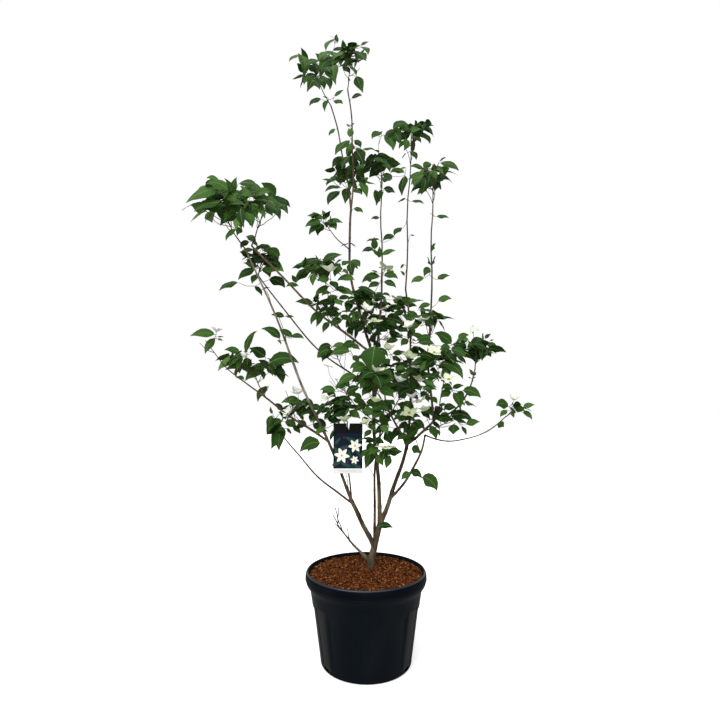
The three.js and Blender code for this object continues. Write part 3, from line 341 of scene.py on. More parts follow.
        (432, 337, 416, 341, 7), (417, 343, 435, 345, 8), (452, 345, 434, 333, 13), (436, 361, 416, 356, 5),
        (436, 362, 410, 366, 5), (437, 363, 424, 371, 7), (408, 341, 416, 346, 0), (412, 339, 416, 342, 0),
        (424, 340, 410, 336, 6), (406, 368, 395, 371, 5), (424, 318, 434, 326, 8), (420, 326, 408, 330, 7),
    ],
    "right_shoulder": [
        (451, 348, 440, 350, 5), (452, 349, 466, 358, 11), (451, 352, 437, 360, 10),
        (448, 353, 456, 363, 9), (442, 363, 463, 379, 10), (452, 370, 441, 377, 9), (422, 390, 437, 390, 6),
        (453, 390, 441, 389, 7), (452, 389, 464, 386, 5), (462, 391, 481, 398, 10), (452, 392, 441, 398, 8),
        (453, 392, 460, 410, 9), (457, 392, 463, 401, 7), (436, 378, 422, 377, 6), (424, 380, 434, 388, 6),
        (432, 362, 420, 372, 7), (446, 366, 438, 369, 6), (440, 372, 430, 382, 7), (444, 352, 450, 360, 8),
    ],
    "right_tip": [
        (469, 340, 456, 342, 8), (484, 340, 470, 343, 8), (484, 343, 483, 333, 8), (486, 345, 497, 349, 7),
        (485, 339, 491, 334, 0), (480, 349, 491, 357, 10), (483, 349, 482, 361, 10),
        (477, 350, 476, 364, 9), (477, 350, 467, 353, 6), (476, 344, 468, 350, 7), (490, 341, 494, 340, 0),
        (452, 345, 465, 350, 7), (458, 339, 469, 335, 7), (462, 352, 473, 360, 7), (457, 356, 466, 364, 6),
        (474, 344, 484, 340, 6), (468, 352, 481, 357, 6),
    ],
    "far_right_tip": [
        (509, 407, 496, 406, 10), (512, 407, 521, 411), (508, 410, 500, 417), (511, 411, 514, 418, 0),
        (512, 405, 513, 402, 0), (522, 412, 532, 420), (513, 406, 521, 404, 6), (523, 408, 535, 405, 0),
    ],
    "right_fringe": [
        (422, 395, 429, 403, 0), (430, 398, 437, 404), (446, 404, 439, 407, 0), (446, 404, 450, 409, 0),
        (449, 417, 473, 421, 7), (434, 418, 446, 424), (454, 424, 453, 435, 11), (462, 426, 466, 436),
        (466, 425, 480, 422), (430, 425, 436, 440, 11), (455, 412, 462, 417, 0), (440, 415, 449, 414),
    ],
    "heart_left": [
        (366, 370, 355, 365, 8), (357, 376, 338, 386, 6), (346, 387, 335, 387, 6), (351, 347, 360, 350, 5),
        (336, 392, 320, 390, 7),
    ],
    "heart_centre": [
        (375, 345, 371, 373, 24, 1), (360, 388, 346, 396, 7), (372, 371, 358, 383, 10),
        (368, 378, 386, 384, 12), (380, 387, 391, 391, 8), (378, 391, 394, 398, 9), (373, 387, 362, 396, 9),
        (376, 350, 388, 357, 6), (368, 405, 355, 411, 7), (352, 400, 366, 404, 7), (388, 408, 370, 412, 7),
        (384, 412, 372, 420, 7), (362, 423, 370, 420), (350, 404, 348, 400, 0), (362, 400, 352, 396, 7),
        (366, 402, 378, 408, 8), (362, 410, 374, 416, 8), (376, 404, 388, 412, 7), (370, 416, 360, 408, 7),
        (368, 424, 376, 432, 6), (372, 430, 364, 438, 6), (380, 426, 388, 434, 7),
    ],
    "heart_right": [
        (392, 402, 380, 408), (388, 412, 378, 404), (398, 410, 388, 420), (404, 414, 414, 422),
        (420, 412, 430, 420), (408, 424, 398, 430), (396, 396, 406, 402), (384, 404, 392, 412),
        (410, 373, 402, 383), (411, 378, 415, 392, 8), (411, 390, 399, 399, 9), (411, 370, 418, 372, 0),
        (392, 388, 399, 393), (399, 421, 421, 417, 7), (402, 422, 407, 431), (401, 427, 393, 440),
        (389, 427, 375, 435), (384, 432, 391, 445, 11), (392, 414, 386, 419), (404, 404, 414, 410),
        (412, 408, 403, 417), (424, 408, 434, 418), (396, 404, 406, 408), (414, 420, 424, 430),
        (432, 421, 440, 430), (420, 424, 410, 430), (406, 410, 396, 416), (398, 404, 408, 412, 8),
        (412, 402, 402, 410, 8),
    ],
    "low_right": [
        (411, 473, 401, 480, 7), (410, 472, 422, 477, 8), (421, 477, 437, 491, 13),
    ],
    "back_left": [
        (352, 378, 342, 383, 7), (344, 386, 336, 389, 7), (334, 390, 322, 394, 7), (346, 352, 334, 355, 7),
        (330, 354, 318, 358, 7), (350, 346, 340, 350, 7), (356, 392, 348, 397, 7), (352, 356, 358, 364, 6),
        (340, 380, 350, 388, 7), (326, 392, 336, 398, 7),
    ],
    "low_centre": [
        (372, 449, 365, 469, 10), (375, 455, 383, 466, 8), (391, 456, 386, 469, 8), (390, 455, 403, 452),
        (368, 450, 362, 458),
    ],
}

# How those leaves stand: the width that says a short leaf, the masses whose lower leaves are on their
# stem and the row of pixels that those lie below, how near the front a leaf at the top may come, the
# lowest height and the highest that it then may have, the plant's front, and the green of the facing leaf
SHORT = 0
STANDING_SPRAYS = ("upright_spray", "tall_middle_spray", "tall_right_spray")
STEM_ROW = 200
NEAREST_TOP = -150
TOP_LEAF = (2900, 3400)
FRONT_LIMIT = -660
FACING_TONE = 1

# Masses whose twigs carry no leaves besides those that show
BARE = ["heart_left", "left_far_tip", "low_right", "back_left", "top_left_spray"]

# Bare side shoots: limb, share of its length, tip and radii
SIDE_SHOOTS = [
    ("dead_shoot", 0.60, (-97, 92, 602), (3.2, 2.4)),
    ("dead_shoot", 0.72, (-176, 104, 668), (3.6, 2.8)),
    ("dead_shoot", 0.80, (-166, 100, 714), (3.4, 2.6)),
    ("dead_shoot", 0.93, (-144, 98, 708), (3.2, 2.4)),
    ("back_stem", 0.42, (-10, 170, 985), (2.4, 1.4)),
    ("left_leader", 0.52, (-415, -300, 1660), (2.2, 1.4)),
    ("left_leader", 0.74, (-470, -330, 1780), (2, 1.3)),
    ("right_low", 0.72, (258, -30, 1075), (3, 2.4)),
    ("left_low_branch", 0.42, (-400, -150, 1320), (2, 1.3)),
    ("left_stem", 0.96, (-105, -12, 905), (3, 1.8)),
]

# Flowers that show, by the middle of their four bracts: the mass that they stand on, or a depth of their
# own, and the place in the picture in pixels. Some also say whether they are cupped, as -1, or open, as 1,
# which of the bract colours they have, and how long their bracts are. Then the flowers on the far side.
BLOSSOM_FORWARD = 0.55
SEEN_BLOSSOMS = [
    (-300, 216.4, 331.8, -1, 0, 42),
    ("left_outer", 246, 356.8, -1, 0, 30),
    ("left_low", 298, 394, -1, 0, 52),
    ("front_low", 328, 399, 1, 1, 54),
    ("middle_left_upper", 330, 272),
    ("middle_crown", 385, 269),
    ("middle_crown", 366, 310),
    ("middle_right_upper", 386, 309),
    ("middle_right_upper", 397, 299),
    ("middle_right_front", 424, 322),
    ("middle_right_front", 410, 327),
    ("middle_crown", 374, 322),
    ("heart_right", 388, 350),
    ("right_shoulder", 434, 353),
    ("heart_right", 409, 358),
    ("heart_right", 419, 368),
    ("heart_right", 398, 382),
    ("heart_right", 418, 381),
    ("heart_right", 413, 398),
    ("heart_right", 421.1, 402),
    ("heart_centre", 374, 402),
    (-300, 375.8, 372.3),
    ("heart_right", 409.1, 413),
    ("right_fringe", 425, 411),
    ("right_shoulder", 449, 380),
    ("right_tip", 473, 333),
    ("far_right_tip", 514, 400),
    ("low_centre", 366, 424, -1, 2, 36),
    ("low_centre", 385, 448),
    ("left_low", 289, 414),
    ("front_low", 345, 421),
]
BACK_BLOSSOMS = [(60, 330, 1880), (-230, 410, 1500), (330, 470, 1490), (150, 500, 1690)]


def unit(directions):
    """Directions of length one: each divided by its own length."""
    directions = np.asarray(directions, dtype=float)
    return directions / np.maximum(np.linalg.norm(directions, axis=-1, keepdims=True), 1e-9)


class Line:
    """A limb's line: start + t*(tip - start) + bow*4t(1-t) + sideways*sin(3*pi*t)*4t(1-t), where
    sideways lies square to the limb and is the crook's share of its length."""

    def __init__(self, start, tip, bow=(0, 0, 0), crook=0.0):
        self.start = np.asarray(start, dtype=float)
        self.tip = np.asarray(tip, dtype=float)
        self.bow = np.asarray(bow, dtype=float)
        along = self.tip - self.start
        self.length = np.linalg.norm(along)
        square = np.array([along[2], 0.6 * along[2], -along[0] - 0.6 * along[1]])
        self.sideways = unit(square) * crook * self.length

    def at(self, share):
        """The points at shares of the line's length."""
        t = np.asarray(share, dtype=float)[..., None]
        hump = 4 * t * (1 - t)
        straight = self.start + t * (self.tip - self.start)
        return straight + self.bow * hump + self.sideways * np.sin(3 * np.pi * t) * hump

    def heading(self, share):
        """The line's direction there, from the point just before to the point just after."""
        step = 1e-4
        low = np.clip(np.asarray(share, dtype=float) - step, 0, 1)
        high = np.clip(np.asarray(share, dtype=float) + step, 0, 1)
        return unit(self.at(high) - self.at(low))


def lay_mesh(name, points, faces, finishes, face_finish=0, grain=None, smooth=True):
    """One mesh object from arrays: points in millimetres, faces as a list of whole-number arrays of
    three or four corners, face_finish as one index for all faces or one for each, and grain as the
    UV place of each corner in the order of the faces."""
    mesh = bpy.data.meshes.new(name)
    corners = np.concatenate([part.ravel() for part in faces]).astype(np.int32)
    counts = np.concatenate([np.full(len(part), part.shape[1]) for part in faces])
    starts = np.concatenate([[0], np.cumsum(counts)[:-1]]).astype(np.int32)
    mesh.vertices.add(len(points))
    mesh.vertices.foreach_set("co", (np.asarray(points) * MM).astype(np.float32).ravel())
    mesh.loops.add(len(corners))
    mesh.loops.foreach_set("vertex_index", corners)
    mesh.polygons.add(len(counts))
    mesh.polygons.foreach_set("loop_start", starts)
    shares = np.broadcast_to(np.asarray(face_finish), len(counts)).astype(np.int32)
    mesh.polygons.foreach_set("material_index", shares)
    mesh.polygons.foreach_set("use_smooth", np.full(len(counts), smooth))
    if grain is not None:
        layer = mesh.uv_layers.new(name="grain")
        layer.data.foreach_set("uv", np.asarray(grain, dtype=np.float32).ravel())
    mesh.update(calc_edges=True)
    piece = bpy.data.objects.new(name, mesh)
    bpy.context.scene.collection.objects.link(piece)
    for finish in finishes:
        mesh.materials.append(finish)
    return piece


def grid_faces(rows, columns, closed):
    """Quads between neighbouring points of a grid, with the last column joined to the first where it
    is closed."""
    across = columns if closed else columns - 1
    row, column = np.meshgrid(np.arange(rows - 1), np.arange(across), indexing="ij")
    after = (column + 1) % columns
    quads = np.stack([row * columns + column, row * columns + after,
                      (row + 1) * columns + after, (row + 1) * columns + column], axis=-1)
    return quads.reshape(-1, 4)


def tube_faces(rows, columns):
    """The quads of a tube of rings, and the two fans of triangles that close it. The point that its first
    ring closes on comes after all the rings, and the point of the last ring after that."""
    first = np.arange(columns)
    after = (first + 1) % columns
    last = (rows - 1) * columns
    fans = [np.stack([after, first, np.full(columns, rows * columns)], axis=-1),
            np.stack([last + first, last + after, np.full(columns, rows * columns + 1)], axis=-1)]
    return grid_faces(rows, columns, closed=True), np.concatenate(fans)


def repeat_faces(faces, count, points_each):
    """The faces of one shape for each of a number of shapes alike, whose points follow one another."""
    shift = (np.arange(count) * points_each)[:, None, None]
    return (faces + shift).reshape(-1, faces.shape[1])


def rods(paths, radii, sides):
    """Round rods along many lines at once. Each ring is the path's point + radius*(cos(turn)*side +
    sin(turn)*over), with side and over square to the path there. One point closes each end, 0.6 of the
    radius beyond it."""
    paths = np.asarray(paths, dtype=float)
    radii = np.asarray(radii, dtype=float)
    count, steps = paths.shape[:2]
    heading = unit(np.gradient(paths, axis=1))
    side = unit(np.cross(heading, np.array([0.31, 0.95, 0.02])))
    over = np.cross(heading, side)
    turn = np.linspace(0, 2 * np.pi, sides, endpoint=False)
    radii = radii if radii.ndim == 3 else radii[:, :, None]
    around = np.cos(turn)[:, None] * side[:, :, None, :] + np.sin(turn)[:, None] * over[:, :, None, :]
    rings = paths[:, :, None, :] + radii[..., None] * around
    beyond = np.array([-0.6, 0.6])[:, None]
    ends = paths[:, [0, -1]] + heading[:, [0, -1]] * radii[:, [0, -1], :1] * beyond
    points = np.concatenate([rings.reshape(count, -1, 3), ends], axis=1)
    faces = [repeat_faces(part, count, steps * sides + 2) for part in tube_faces(steps, sides)]
    return points.reshape(-1, 3), faces


def join_shapes(shapes):
    """One set of points and faces from several, with each one's faces moved on by the points before."""
    points = np.concatenate([shape[0] for shape in shapes])
    moved = 0
    by_size = {4: [], 3: []}
    for shape_points, faces in shapes:
        for part in faces:
            by_size[part.shape[1]].append(part + moved)
        moved += len(shape_points)
    return points, [np.concatenate(parts) for parts in by_size.values() if parts]


# Finishes


def new_finish(name, base, roughness, specular=0.5):
    """A plain finish, with the tree and the shader that its detail is added to."""
    finish = bpy.data.materials.new(name)
    finish.use_nodes = True
    shader = finish.node_tree.nodes["Principled BSDF"]
    shader.inputs["Base Color"].default_value = (*base, 1)
    shader.inputs["Roughness"].default_value = roughness
    shader.inputs["Specular IOR Level"].default_value = specular
    return finish, finish.node_tree, shader


def add_node(tree, kind, values, links, **settings):
    """A node of one kind with its settings, the values of its inputs and the outputs linked to them."""
    node = tree.nodes.new("ShaderNode" + kind)
    for name, value in settings.items():
        setattr(node, name, value)
    for socket, value in values.items():
        node.inputs[socket].default_value = value
    for socket, output in links.items():
        tree.links.new(output, node.inputs[socket])
    return node


def noise_field(tree, scale, detail, stretch=(1, 1, 1)):
    """A noise on the piece's own place, squeezed by stretch along each axis."""
    place = add_node(tree, "TexCoord", {}, {})
    mapping = add_node(tree, "Mapping", {"Scale": stretch}, {"Vector": place.outputs["Object"]})
    noise = add_node(tree, "TexNoise", {"Scale": scale, "Detail": detail},
                     {"Vector": mapping.outputs["Vector"]})
    return noise.outputs["Fac"]


def colour_bands(tree, field, stops):
    """A ramp of colours over a field from 0 to 1."""
    ramp = add_node(tree, "ValToRGB", {}, {"Fac": field})
    ends = ramp.color_ramp.elements
    for element, (position, colour) in zip((ends[0], ends[1]), (stops[0], stops[-1])):
        element.position = position
        element.color = (*colour, 1)
    for position, colour in stops[1:-1]:
        ramp.color_ramp.elements.new(position).color = (*colour, 1)
    return ramp.outputs["Color"]


def raise_grain(tree, shader, field, distance, strength):
    """The surface rises by distance where the field is 1."""
    bump = add_node(tree, "Bump", {"Distance": distance, "Strength": strength}, {"Height": field})
    tree.links.new(bump.outputs["Normal"], shader.inputs["Normal"])


def bark_finish(name, dark, middle, light, coarse, spread=0.18, below=None):
    """Bark: blotches of three colours, and fine cracks drawn out along the stem. Below gives darker bark
    at the bough's foot, which ends between two heights: its colour and those heights in metres."""
    finish, tree, shader = new_finish(name, middle, 0.8, 0.15)
    blotches = noise_field(tree, coarse, 5, (1, 1, 0.35))
    places = (0.5 - spread, 0.5, 0.5 + spread)
    colour = colour_bands(tree, blotches, list(zip(places, (dark, middle, light))))
    if below:
        foot_colour, ends_from, ends_at = below
        tones = [tuple(strength * value for value in foot_colour) for strength in (0.5, 1, 1.7)]
        foot = colour_bands(tree, blotches, list(zip(places, tones)))
        place = add_node(tree, "TexCoord", {}, {})
        parts = add_node(tree, "SeparateXYZ", {}, {"Vector": place.outputs["Object"]})
        share = add_node(tree, "MapRange", {"From Min": ends_from, "From Max": ends_at},
                         {"Value": parts.outputs["Z"]})
        blend = add_node(tree, "Mix", {}, {"Factor": share.outputs["Result"], "A": foot, "B": colour},
                         data_type="RGBA")
        colour = blend.outputs["Result"]
    tree.links.new(colour, shader.inputs["Base Color"])
    cracks = noise_field(tree, 260, 4, (1, 1, 0.25))
    raise_grain(tree, shader, cracks, 0.0012, 0.55)
    return finish


def leaf_finish(name, base, roughness=0.5):
    """Leaf skin: one plain green. Its veins curve from the middle rib to the edge: the surface rises
    and falls as the sine of 6.5 times the place along, less 1.3 times the place across."""
    finish, tree, shader = new_finish(name, base, roughness, 0.07)
    place = add_node(tree, "UVMap", {}, {}, uv_map="grain")
    parts = add_node(tree, "SeparateXYZ", {}, {"Vector": place.outputs["UV"]})
    along = add_node(tree, "Math", {1: 6.5}, {0: parts.outputs["X"]}, operation="MULTIPLY")
    slanted = add_node(tree, "Math", {1: -1.3}, {0: parts.outputs["Y"], 2: along.outputs["Value"]},
                       operation="MULTIPLY_ADD")
    turns = add_node(tree, "Math", {1: 2 * np.pi}, {0: slanted.outputs["Value"]}, operation="MULTIPLY")
    veins = add_node(tree, "Math", {}, {0: turns.outputs["Value"]}, operation="SINE")
    raise_grain(tree, shader, veins.outputs["Value"], 0.0007, 0.6)
    return finish


def plastic_finish(name, base, scuffed, roughness, specular):
    """Moulded plastic: a fine grain, with a thin film of dust that comes and goes over the surface."""
    finish, tree, shader = new_finish(name, base, roughness, specular)
    dust = noise_field(tree, 7, 8, (1, 1, 0.4))
    colour = colour_bands(tree, dust, [(0.42, base), (0.72, scuffed)])
    tree.links.new(colour, shader.inputs["Base Color"])
    rough = add_node(tree, "MapRange", {"To Min": roughness - 0.06, "To Max": roughness + 0.16},
                     {"Value": dust})
    tree.links.new(rough.outputs["Result"], shader.inputs["Roughness"])
    raise_grain(tree, shader, noise_field(tree, 900, 2), 0.0002, 0.25)
    return finish


def soft_finish(name, base, roughness, scale, distance, specular=0.2):
    """A plain colour with a fine uneven skin."""
    finish, tree, shader = new_finish(name, base, roughness, specular)
    raise_grain(tree, shader, noise_field(tree, scale, 4), distance, 0.5)
    return finish


GREENS = [leaf_finish("leaf_" + name, colour) for name, colour in (
    ("deep_green", (0.0105, 0.034, 0.0045)),
    ("dark_green", (0.0205, 0.058, 0.0075)),
    ("green", (0.036, 0.092, 0.0135)),
    ("fresh_green", (0.058, 0.132, 0.024)),
    ("light_green", (0.088, 0.182, 0.040)),
)]
LEAF_RIB = new_finish("leaf_rib", (0.10, 0.17, 0.050), 0.5, 0.1)[0]
OLD_BARK = bark_finish(
    "old_bark", (0.019, 0.013, 0.008), (0.052, 0.038, 0.022), (0.120, 0.092, 0.056), 26, 0.15)
GREY_BARK = bark_finish(
    "grey_bark", (0.080, 0.066, 0.048), (0.19, 0.160, 0.120), (0.32, 0.285, 0.23), 34,
    below=((0.060, 0.044, 0.028), 1.12, 1.36))
PALE_BARK = bark_finish(
    "pale_bark", (0.060, 0.040, 0.028), (0.135, 0.092, 0.066), (0.22, 0.165, 0.122), 40)
YOUNG_BARK = bark_finish(
    "young_bark", (0.026, 0.016, 0.011), (0.066, 0.042, 0.029), (0.125, 0.088, 0.062), 40)
TWIG_BARK = bark_finish(
    "twig_bark", (0.024, 0.015, 0.009), (0.058, 0.036, 0.023), (0.105, 0.070, 0.044), 60)
DEAD_WOOD = bark_finish(
    "dead_wood", (0.022, 0.017, 0.013), (0.056, 0.046, 0.035), (0.120, 0.100, 0.076), 50)
POT_PLASTIC = plastic_finish(
    "pot_plastic", (0.0018, 0.0036, 0.0058), (0.0045, 0.0063, 0.0080), 0.42, 0.045)
# The rim's band below the bead is a darker blue-black than the pot and less glossy: painted shade
POT_BAND_PAINTED_SHADE = plastic_finish(
    "pot_rim_band_painted_shade", (0.0009, 0.0019, 0.0040), (0.0026, 0.0036, 0.0054), 0.45, 0.03)
# The bead's top shoulder is a lighter blue-black than the pot: a painted highlight, with a real lower
# roughness and stronger gloss
RIM_PAINTED_HIGHLIGHT = plastic_finish("pot_rim_bead_painted_highlight", (0.006, 0.009, 0.015), (0.011, 0.014, 0.021), 0.24, 0.35)
# The rib faces are lighter than the body: a painted reflection, with a real lower roughness and stronger
# gloss
POT_RIB_PAINTED_SHEEN = plastic_finish("pot_rib_painted_sheen", (0.0046, 0.0062, 0.0062), (0.0076, 0.0090, 0.0084), 0.36, 0.09)
# The drain holes are shallow hollows painted near black: painted shade
HOLE_PAINTED_SHADE = new_finish("drain_hole_painted_shade", (0.001, 0.001, 0.001), 0.9, 0.02)[0]
CHIPS = [soft_finish("bark_chip_" + name, colour, rough, 300, 0.0008, 0.05) for name, colour, rough in (
    ("dark", (0.020, 0.0060, 0.0020), 0.9),
    ("brown", (0.064, 0.0165, 0.0042), 0.9),
    ("red", (0.106, 0.029, 0.0070), 0.88),
    ("orange", (0.164, 0.055, 0.0135), 0.88),
    ("tan", (0.26, 0.120, 0.046), 0.85),
)]
COMPOST = soft_finish("compost", (0.012, 0.008, 0.005), 0.95, 220, 0.003)
BRACTS = [soft_finish("bract_" + name, colour, 0.6, 160, 0.0004, 0.1) for name, colour in (
    ("white", (0.67, 0.69, 0.61)),
    ("cream", (0.59, 0.62, 0.46)),
    ("green_cream", (0.47, 0.525, 0.33)),
)]
FLOWER_HEAD = soft_finish("flower_head", (0.16, 0.22, 0.05), 0.6, 700, 0.001)
TAG_FACES = {name: soft_finish("tag_" + name, colour, rough, *skin, 0.04) for name, colour, rough, skin in (
    ("plate", (0.006, 0.006, 0.007), 0.35, (400, 0.0001)),
    ("ground", (0.0065, 0.011, 0.024), 0.35, (90, 0.0002)),
    ("leaf", (0.018, 0.055, 0.036), 0.35, (90, 0.0002)),
    ("berry", (0.16, 0.022, 0.045), 0.35, (90, 0.0002)),
    ("petal", (0.78, 0.78, 0.70), 0.35, (90, 0.0002)),
    ("eye", (0.45, 0.40, 0.10), 0.4, (90, 0.0002)),
    ("band", (0.66, 0.66, 0.64), 0.35, (400, 0.0001)),
    ("rule", (0.25, 0.25, 0.25), 0.4, (400, 0.0001)),
)}


def add_camera():
    """The camera, at the photograph's place and angle."""
    camera = bpy.data.cameras.new("camera")
    camera.sensor_width = SENSOR
    camera.lens = LENS
    holder = bpy.data.objects.new("camera", camera)
    holder.location = EYE
    holder.rotation_euler = (radians(90 + LOOK_UP), 0, 0)
    bpy.context.scene.collection.objects.link(holder)
    bpy.context.scene.camera = holder


# Pot: its profile as radius and height, from the middle of its foot up the outside, over the rim and down
# the inside. The body widens evenly from its foot. Ribs, seams and drain holes are given by the degrees
# from the front at which they stand, and the rim band's painted shade and the bead's painted highlight by
# the height of their foot.


POT_PROFILE = np.array([
    (0, 0), (150, 0), (205, 0.2), (215, 0.8), (219.6, 2.4), (222.4, 5.4), (223.8, 10), (224.6, 18),
    (259.4, 254), (260.4, 262), (263, 268), (266, 271), (267.6, 276), (268.8, 284), (272.4, 306),
    (277.4, 334), (279.4, 342), (282.4, 350), (287.6, 358), (294, 366), (298.4, 374), (300.2, 380),
    (300.4, 384), (299.8, 386.6), (300.6, 388.4), (303.4, 389.8), (304, 391.2), (303.6, 392.6), (303, 395),
    (303.5, 399), (303.6, 405), (303.2, 411), (302, 417), (299.6, 422), (296.6, 425.6), (293, 427.4),
    (290.4, 427.2), (288.2, 425.4), (287, 421), (285.6, 412), (282.6, 396), (276, 340), (256, 262),
    (218.5, 18), (206, 5), (0, 4),
])
POT_SIDES = 540
SHOWN_ROW = 5
HIDDEN_ROW = 24
BODY_FOOT = (224.6, 18)
BODY_WIDENING = 0.1606
RIBS = (-122, -52, 53.5, 122, 180)
RIB_RISE = 5.5
GROOVE_DEPTH = 4.6
PANEL_TOP = 304
RECESS_DEPTH = 1.8
LEDGE_DEPTH = 1.2
SEAMS = ((-16, 0.4), (-5.4, 0.5), (22.7, 0.6), (34, 0.4))
LUG_RISE = 2.6
DRAIN_HOLES = (-56, 57, 144, -144)
HOLE_DEPTH = 9
MULCH_RIM = 413
RIM_EDGE = 427.3
BEAD_PAINTED_HIGHLIGHT_FOOT = 421
BAND_PAINTED_SHADE_FOOT = 388


def even_profile(corners, spacing):
    """Points along a profile of straight stretches, no further apart than the spacing of each."""
    pieces = [corners[:1]]
    for low, high, step in zip(corners[:-1], corners[1:], spacing):
        parts = max(1, int(np.ceil(np.linalg.norm(high - low) / step)))
        shares = np.arange(1, parts + 1)[:, None] / parts
        pieces.append(low + shares * (high - low))
    return np.concatenate(pieces)


def step_between(value, low, high):
    """0 below low, 1 above high and 3s^2 - 2s^3 between them."""
    share = np.clip((value - low) / (high - low), 0, 1)
    return share * share * (3 - 2 * share)


def window(value, rise, fall):
    """1 between two steps: up over the stretch of rise, and down over that of fall."""
    return step_between(value, *rise) * (1 - step_between(value, *fall))


def degrees_from(degrees, middle):
    """How far the degrees are from a middle, between -180 and 180."""
    return (degrees - middle + 180) % 360 - 180


def body_slope(height):
    """The body's radius where nothing is cut back: it widens evenly from the foot."""
    return BODY_FOOT[0] + (height - BODY_FOOT[1]) * BODY_WIDENING


def raise_ribs(radius, height, degrees, wall):
    """The radius with the upright ribs, which reach 5.5 past the body's slope, and with the groove on
    each one's side away from the front. Also gives a 1 where a rib stands."""
    rib = np.zeros_like(radius)
    for middle in RIBS:
        away = degrees_from(degrees, middle) * (-1 if middle < 0 else 1)
        upright = window(height, (24, 36), (293, 298))
        across = window(away, (-8.2, -6.8), (5.4, 6.4))
        rise = np.maximum(body_slope(height) + RIB_RISE - radius, 0)
        radius = radius + wall * rise * upright * across
        rib = np.maximum(rib, wall * upright * across)
        groove = GROOVE_DEPTH * np.exp(-((away - 9.2) / 2.4) ** 4) * (1 - step_between(height, 286, 294))
        radius = radius - wall * step_between(height, 30, 44) * groove
    return radius, rib


def cut_front(radius, height, degrees, wall):
    """The radius with the shallow recess of the collar, the wavy ledge under it and the thin seams."""
    recess = window(degrees, (-16.4, -15.8), (10.4, 11)) * window(height, (307, 310), (345, 349))
    radius = radius - wall * RECESS_DEPTH * recess
    ledge = np.exp(-((height - 306) / 2.4) ** 2) * (1 - step_between(np.abs(degrees), 32, 36))
    radius = radius - wall * LEDGE_DEPTH * ledge * (0.6 + 0.4 * np.sin(np.radians(degrees) * 9 + 1))
    for seam, depth in SEAMS:
        line = np.exp(-((degrees - seam) / 0.5) ** 2) * (1 - step_between(height, 256, 262))
        radius = radius - wall * depth * line
    return radius


def drain_holes(height, degrees, outer):
    """1 in the drain holes, which are slots 30 wide and 24 high low in the wall."""
    bore = np.zeros_like(height)
    for middle in DRAIN_HOLES:
        reach = np.hypot(np.radians(degrees_from(degrees, middle)) * 150, 0.85 * (height - 20))
        bore = np.maximum(bore, (reach < 40) * outer * (1 - step_between(reach, 9, 12)))
    return bore


def make_pot():
    """The profile turned round +Z, with finer rows where it shows. The first two stretches lie under the
    pot, and those inside it below the mulch are hidden. The front panel between the ribs is flush with
    the body's slope up to the ledge, and the radius changes as each function above says."""
    stretch = np.arange(len(POT_PROFILE) - 1)
    hidden = (stretch > np.argmax(POT_PROFILE[:, 1])) & (POT_PROFILE[:-1, 1] < MULCH_RIM) | (stretch < 2)
    profile = even_profile(POT_PROFILE, np.where(hidden, HIDDEN_ROW, SHOWN_ROW))
    angle = np.linspace(-np.pi, np.pi, POT_SIDES, endpoint=False)
    degrees = np.degrees(angle)[None, :]
    radius = profile[1:-1, 0][:, None] + np.zeros(POT_SIDES)
    height = profile[1:-1, 1][:, None] + np.zeros(POT_SIDES)
    outer = np.arange(len(profile) - 2)[:, None] < np.argmax(profile[:, 1] > RIM_EDGE)
    wall = outer * step_between(height, 8, 16)
    front = (1 - step_between(np.abs(degrees), 36, 42)) * (height < PANEL_TOP)
    radius = radius + wall * front * np.maximum(body_slope(height) - radius, 0)
    radius, rib = raise_ribs(radius, height, degrees, wall)
    radius = cut_front(radius, height, degrees, wall)
    lug = np.exp(-((degrees + 2.6) / 1.1) ** 4) * step_between(height, 9, 14)
    radius = radius + outer * LUG_RISE * lug * (1 - step_between(height, 30, 34))
    # The hollows of the drain holes take the near-black painted shade
    bore = drain_holes(height, degrees, outer)
    radius = radius - HOLE_DEPTH * bore
    rings = np.stack([radius * np.sin(angle), -radius * np.cos(angle), height], axis=-1)
    ends = [[0, 0, profile[0, 1]], [0, 0, profile[-1, 1]]]
    quads, fans = tube_faces(len(rings), POT_SIDES)
    middle = height.ravel()[quads].mean(axis=1)
    proud = outer.repeat(POT_SIDES, axis=1).ravel()[quads].all(axis=1)
    # Finishes by face: the drain holes near black as painted shade, the bead's top shoulder lighter as a
    # painted highlight, the rim band darker as painted shade, and the rib faces lighter as a painted
    # reflection
    kinds = [(bore.ravel()[quads] > 0.3).any(axis=1), proud & (middle > BEAD_PAINTED_HIGHLIGHT_FOOT),
             proud & (middle > BAND_PAINTED_SHADE_FOOT), (rib.ravel()[quads] > 0.5).any(axis=1)]
    finish = np.concatenate([np.select(kinds, [1, 2, 3, 4]), np.zeros(len(fans), dtype=int)])
    pot = lay_mesh("pot_shell", np.concatenate([rings.reshape(-1, 3), ends]), [quads, fans],
                   [POT_PLASTIC, HOLE_PAINTED_SHADE, RIM_PAINTED_HIGHLIGHT, POT_BAND_PAINTED_SHADE, POT_RIB_PAINTED_SHEEN], finish)
    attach(pot, "root")
    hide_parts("pot")


# Mulch


BED_RADIUS = 280
BED_FOOT = 374
BED_TOP = 409
BED_RINGS = 40
BED_SIDES = 96
CHIP_COUNT = 7200
CHIP_SPREAD = 281
CHIP_LIMIT = 284.5
CHIP_SIZES = ((5, 14), (3.5, 7.5), (1.4, 4))
CHIP_TONES = [0.18, 0.30, 0.27, 0.17, 0.08]


def mulch_height(x, y):
    """Height of the mulch: about 415 in the middle and 411 at the rim, with gentle swells."""
    far = np.hypot(x, y) / 275
    swell = 2.2 * np.sin(0.031 * x + 1.1) * np.cos(0.027 * y) + 1.3 * np.sin(0.063 * x - 0.05 * y)
    return 415.5 - 4 * far ** 2 + 0.6 * swell


def turned(points, angle, first, second):
    """Points turned by their own angle in the plane of two of the axes."""
    result = points.copy()
    result[..., first] = points[..., first] * np.cos(angle) - points[..., second] * np.sin(angle)
    result[..., second] = points[..., first] * np.sin(angle) + points[..., second] * np.cos(angle)
    return result


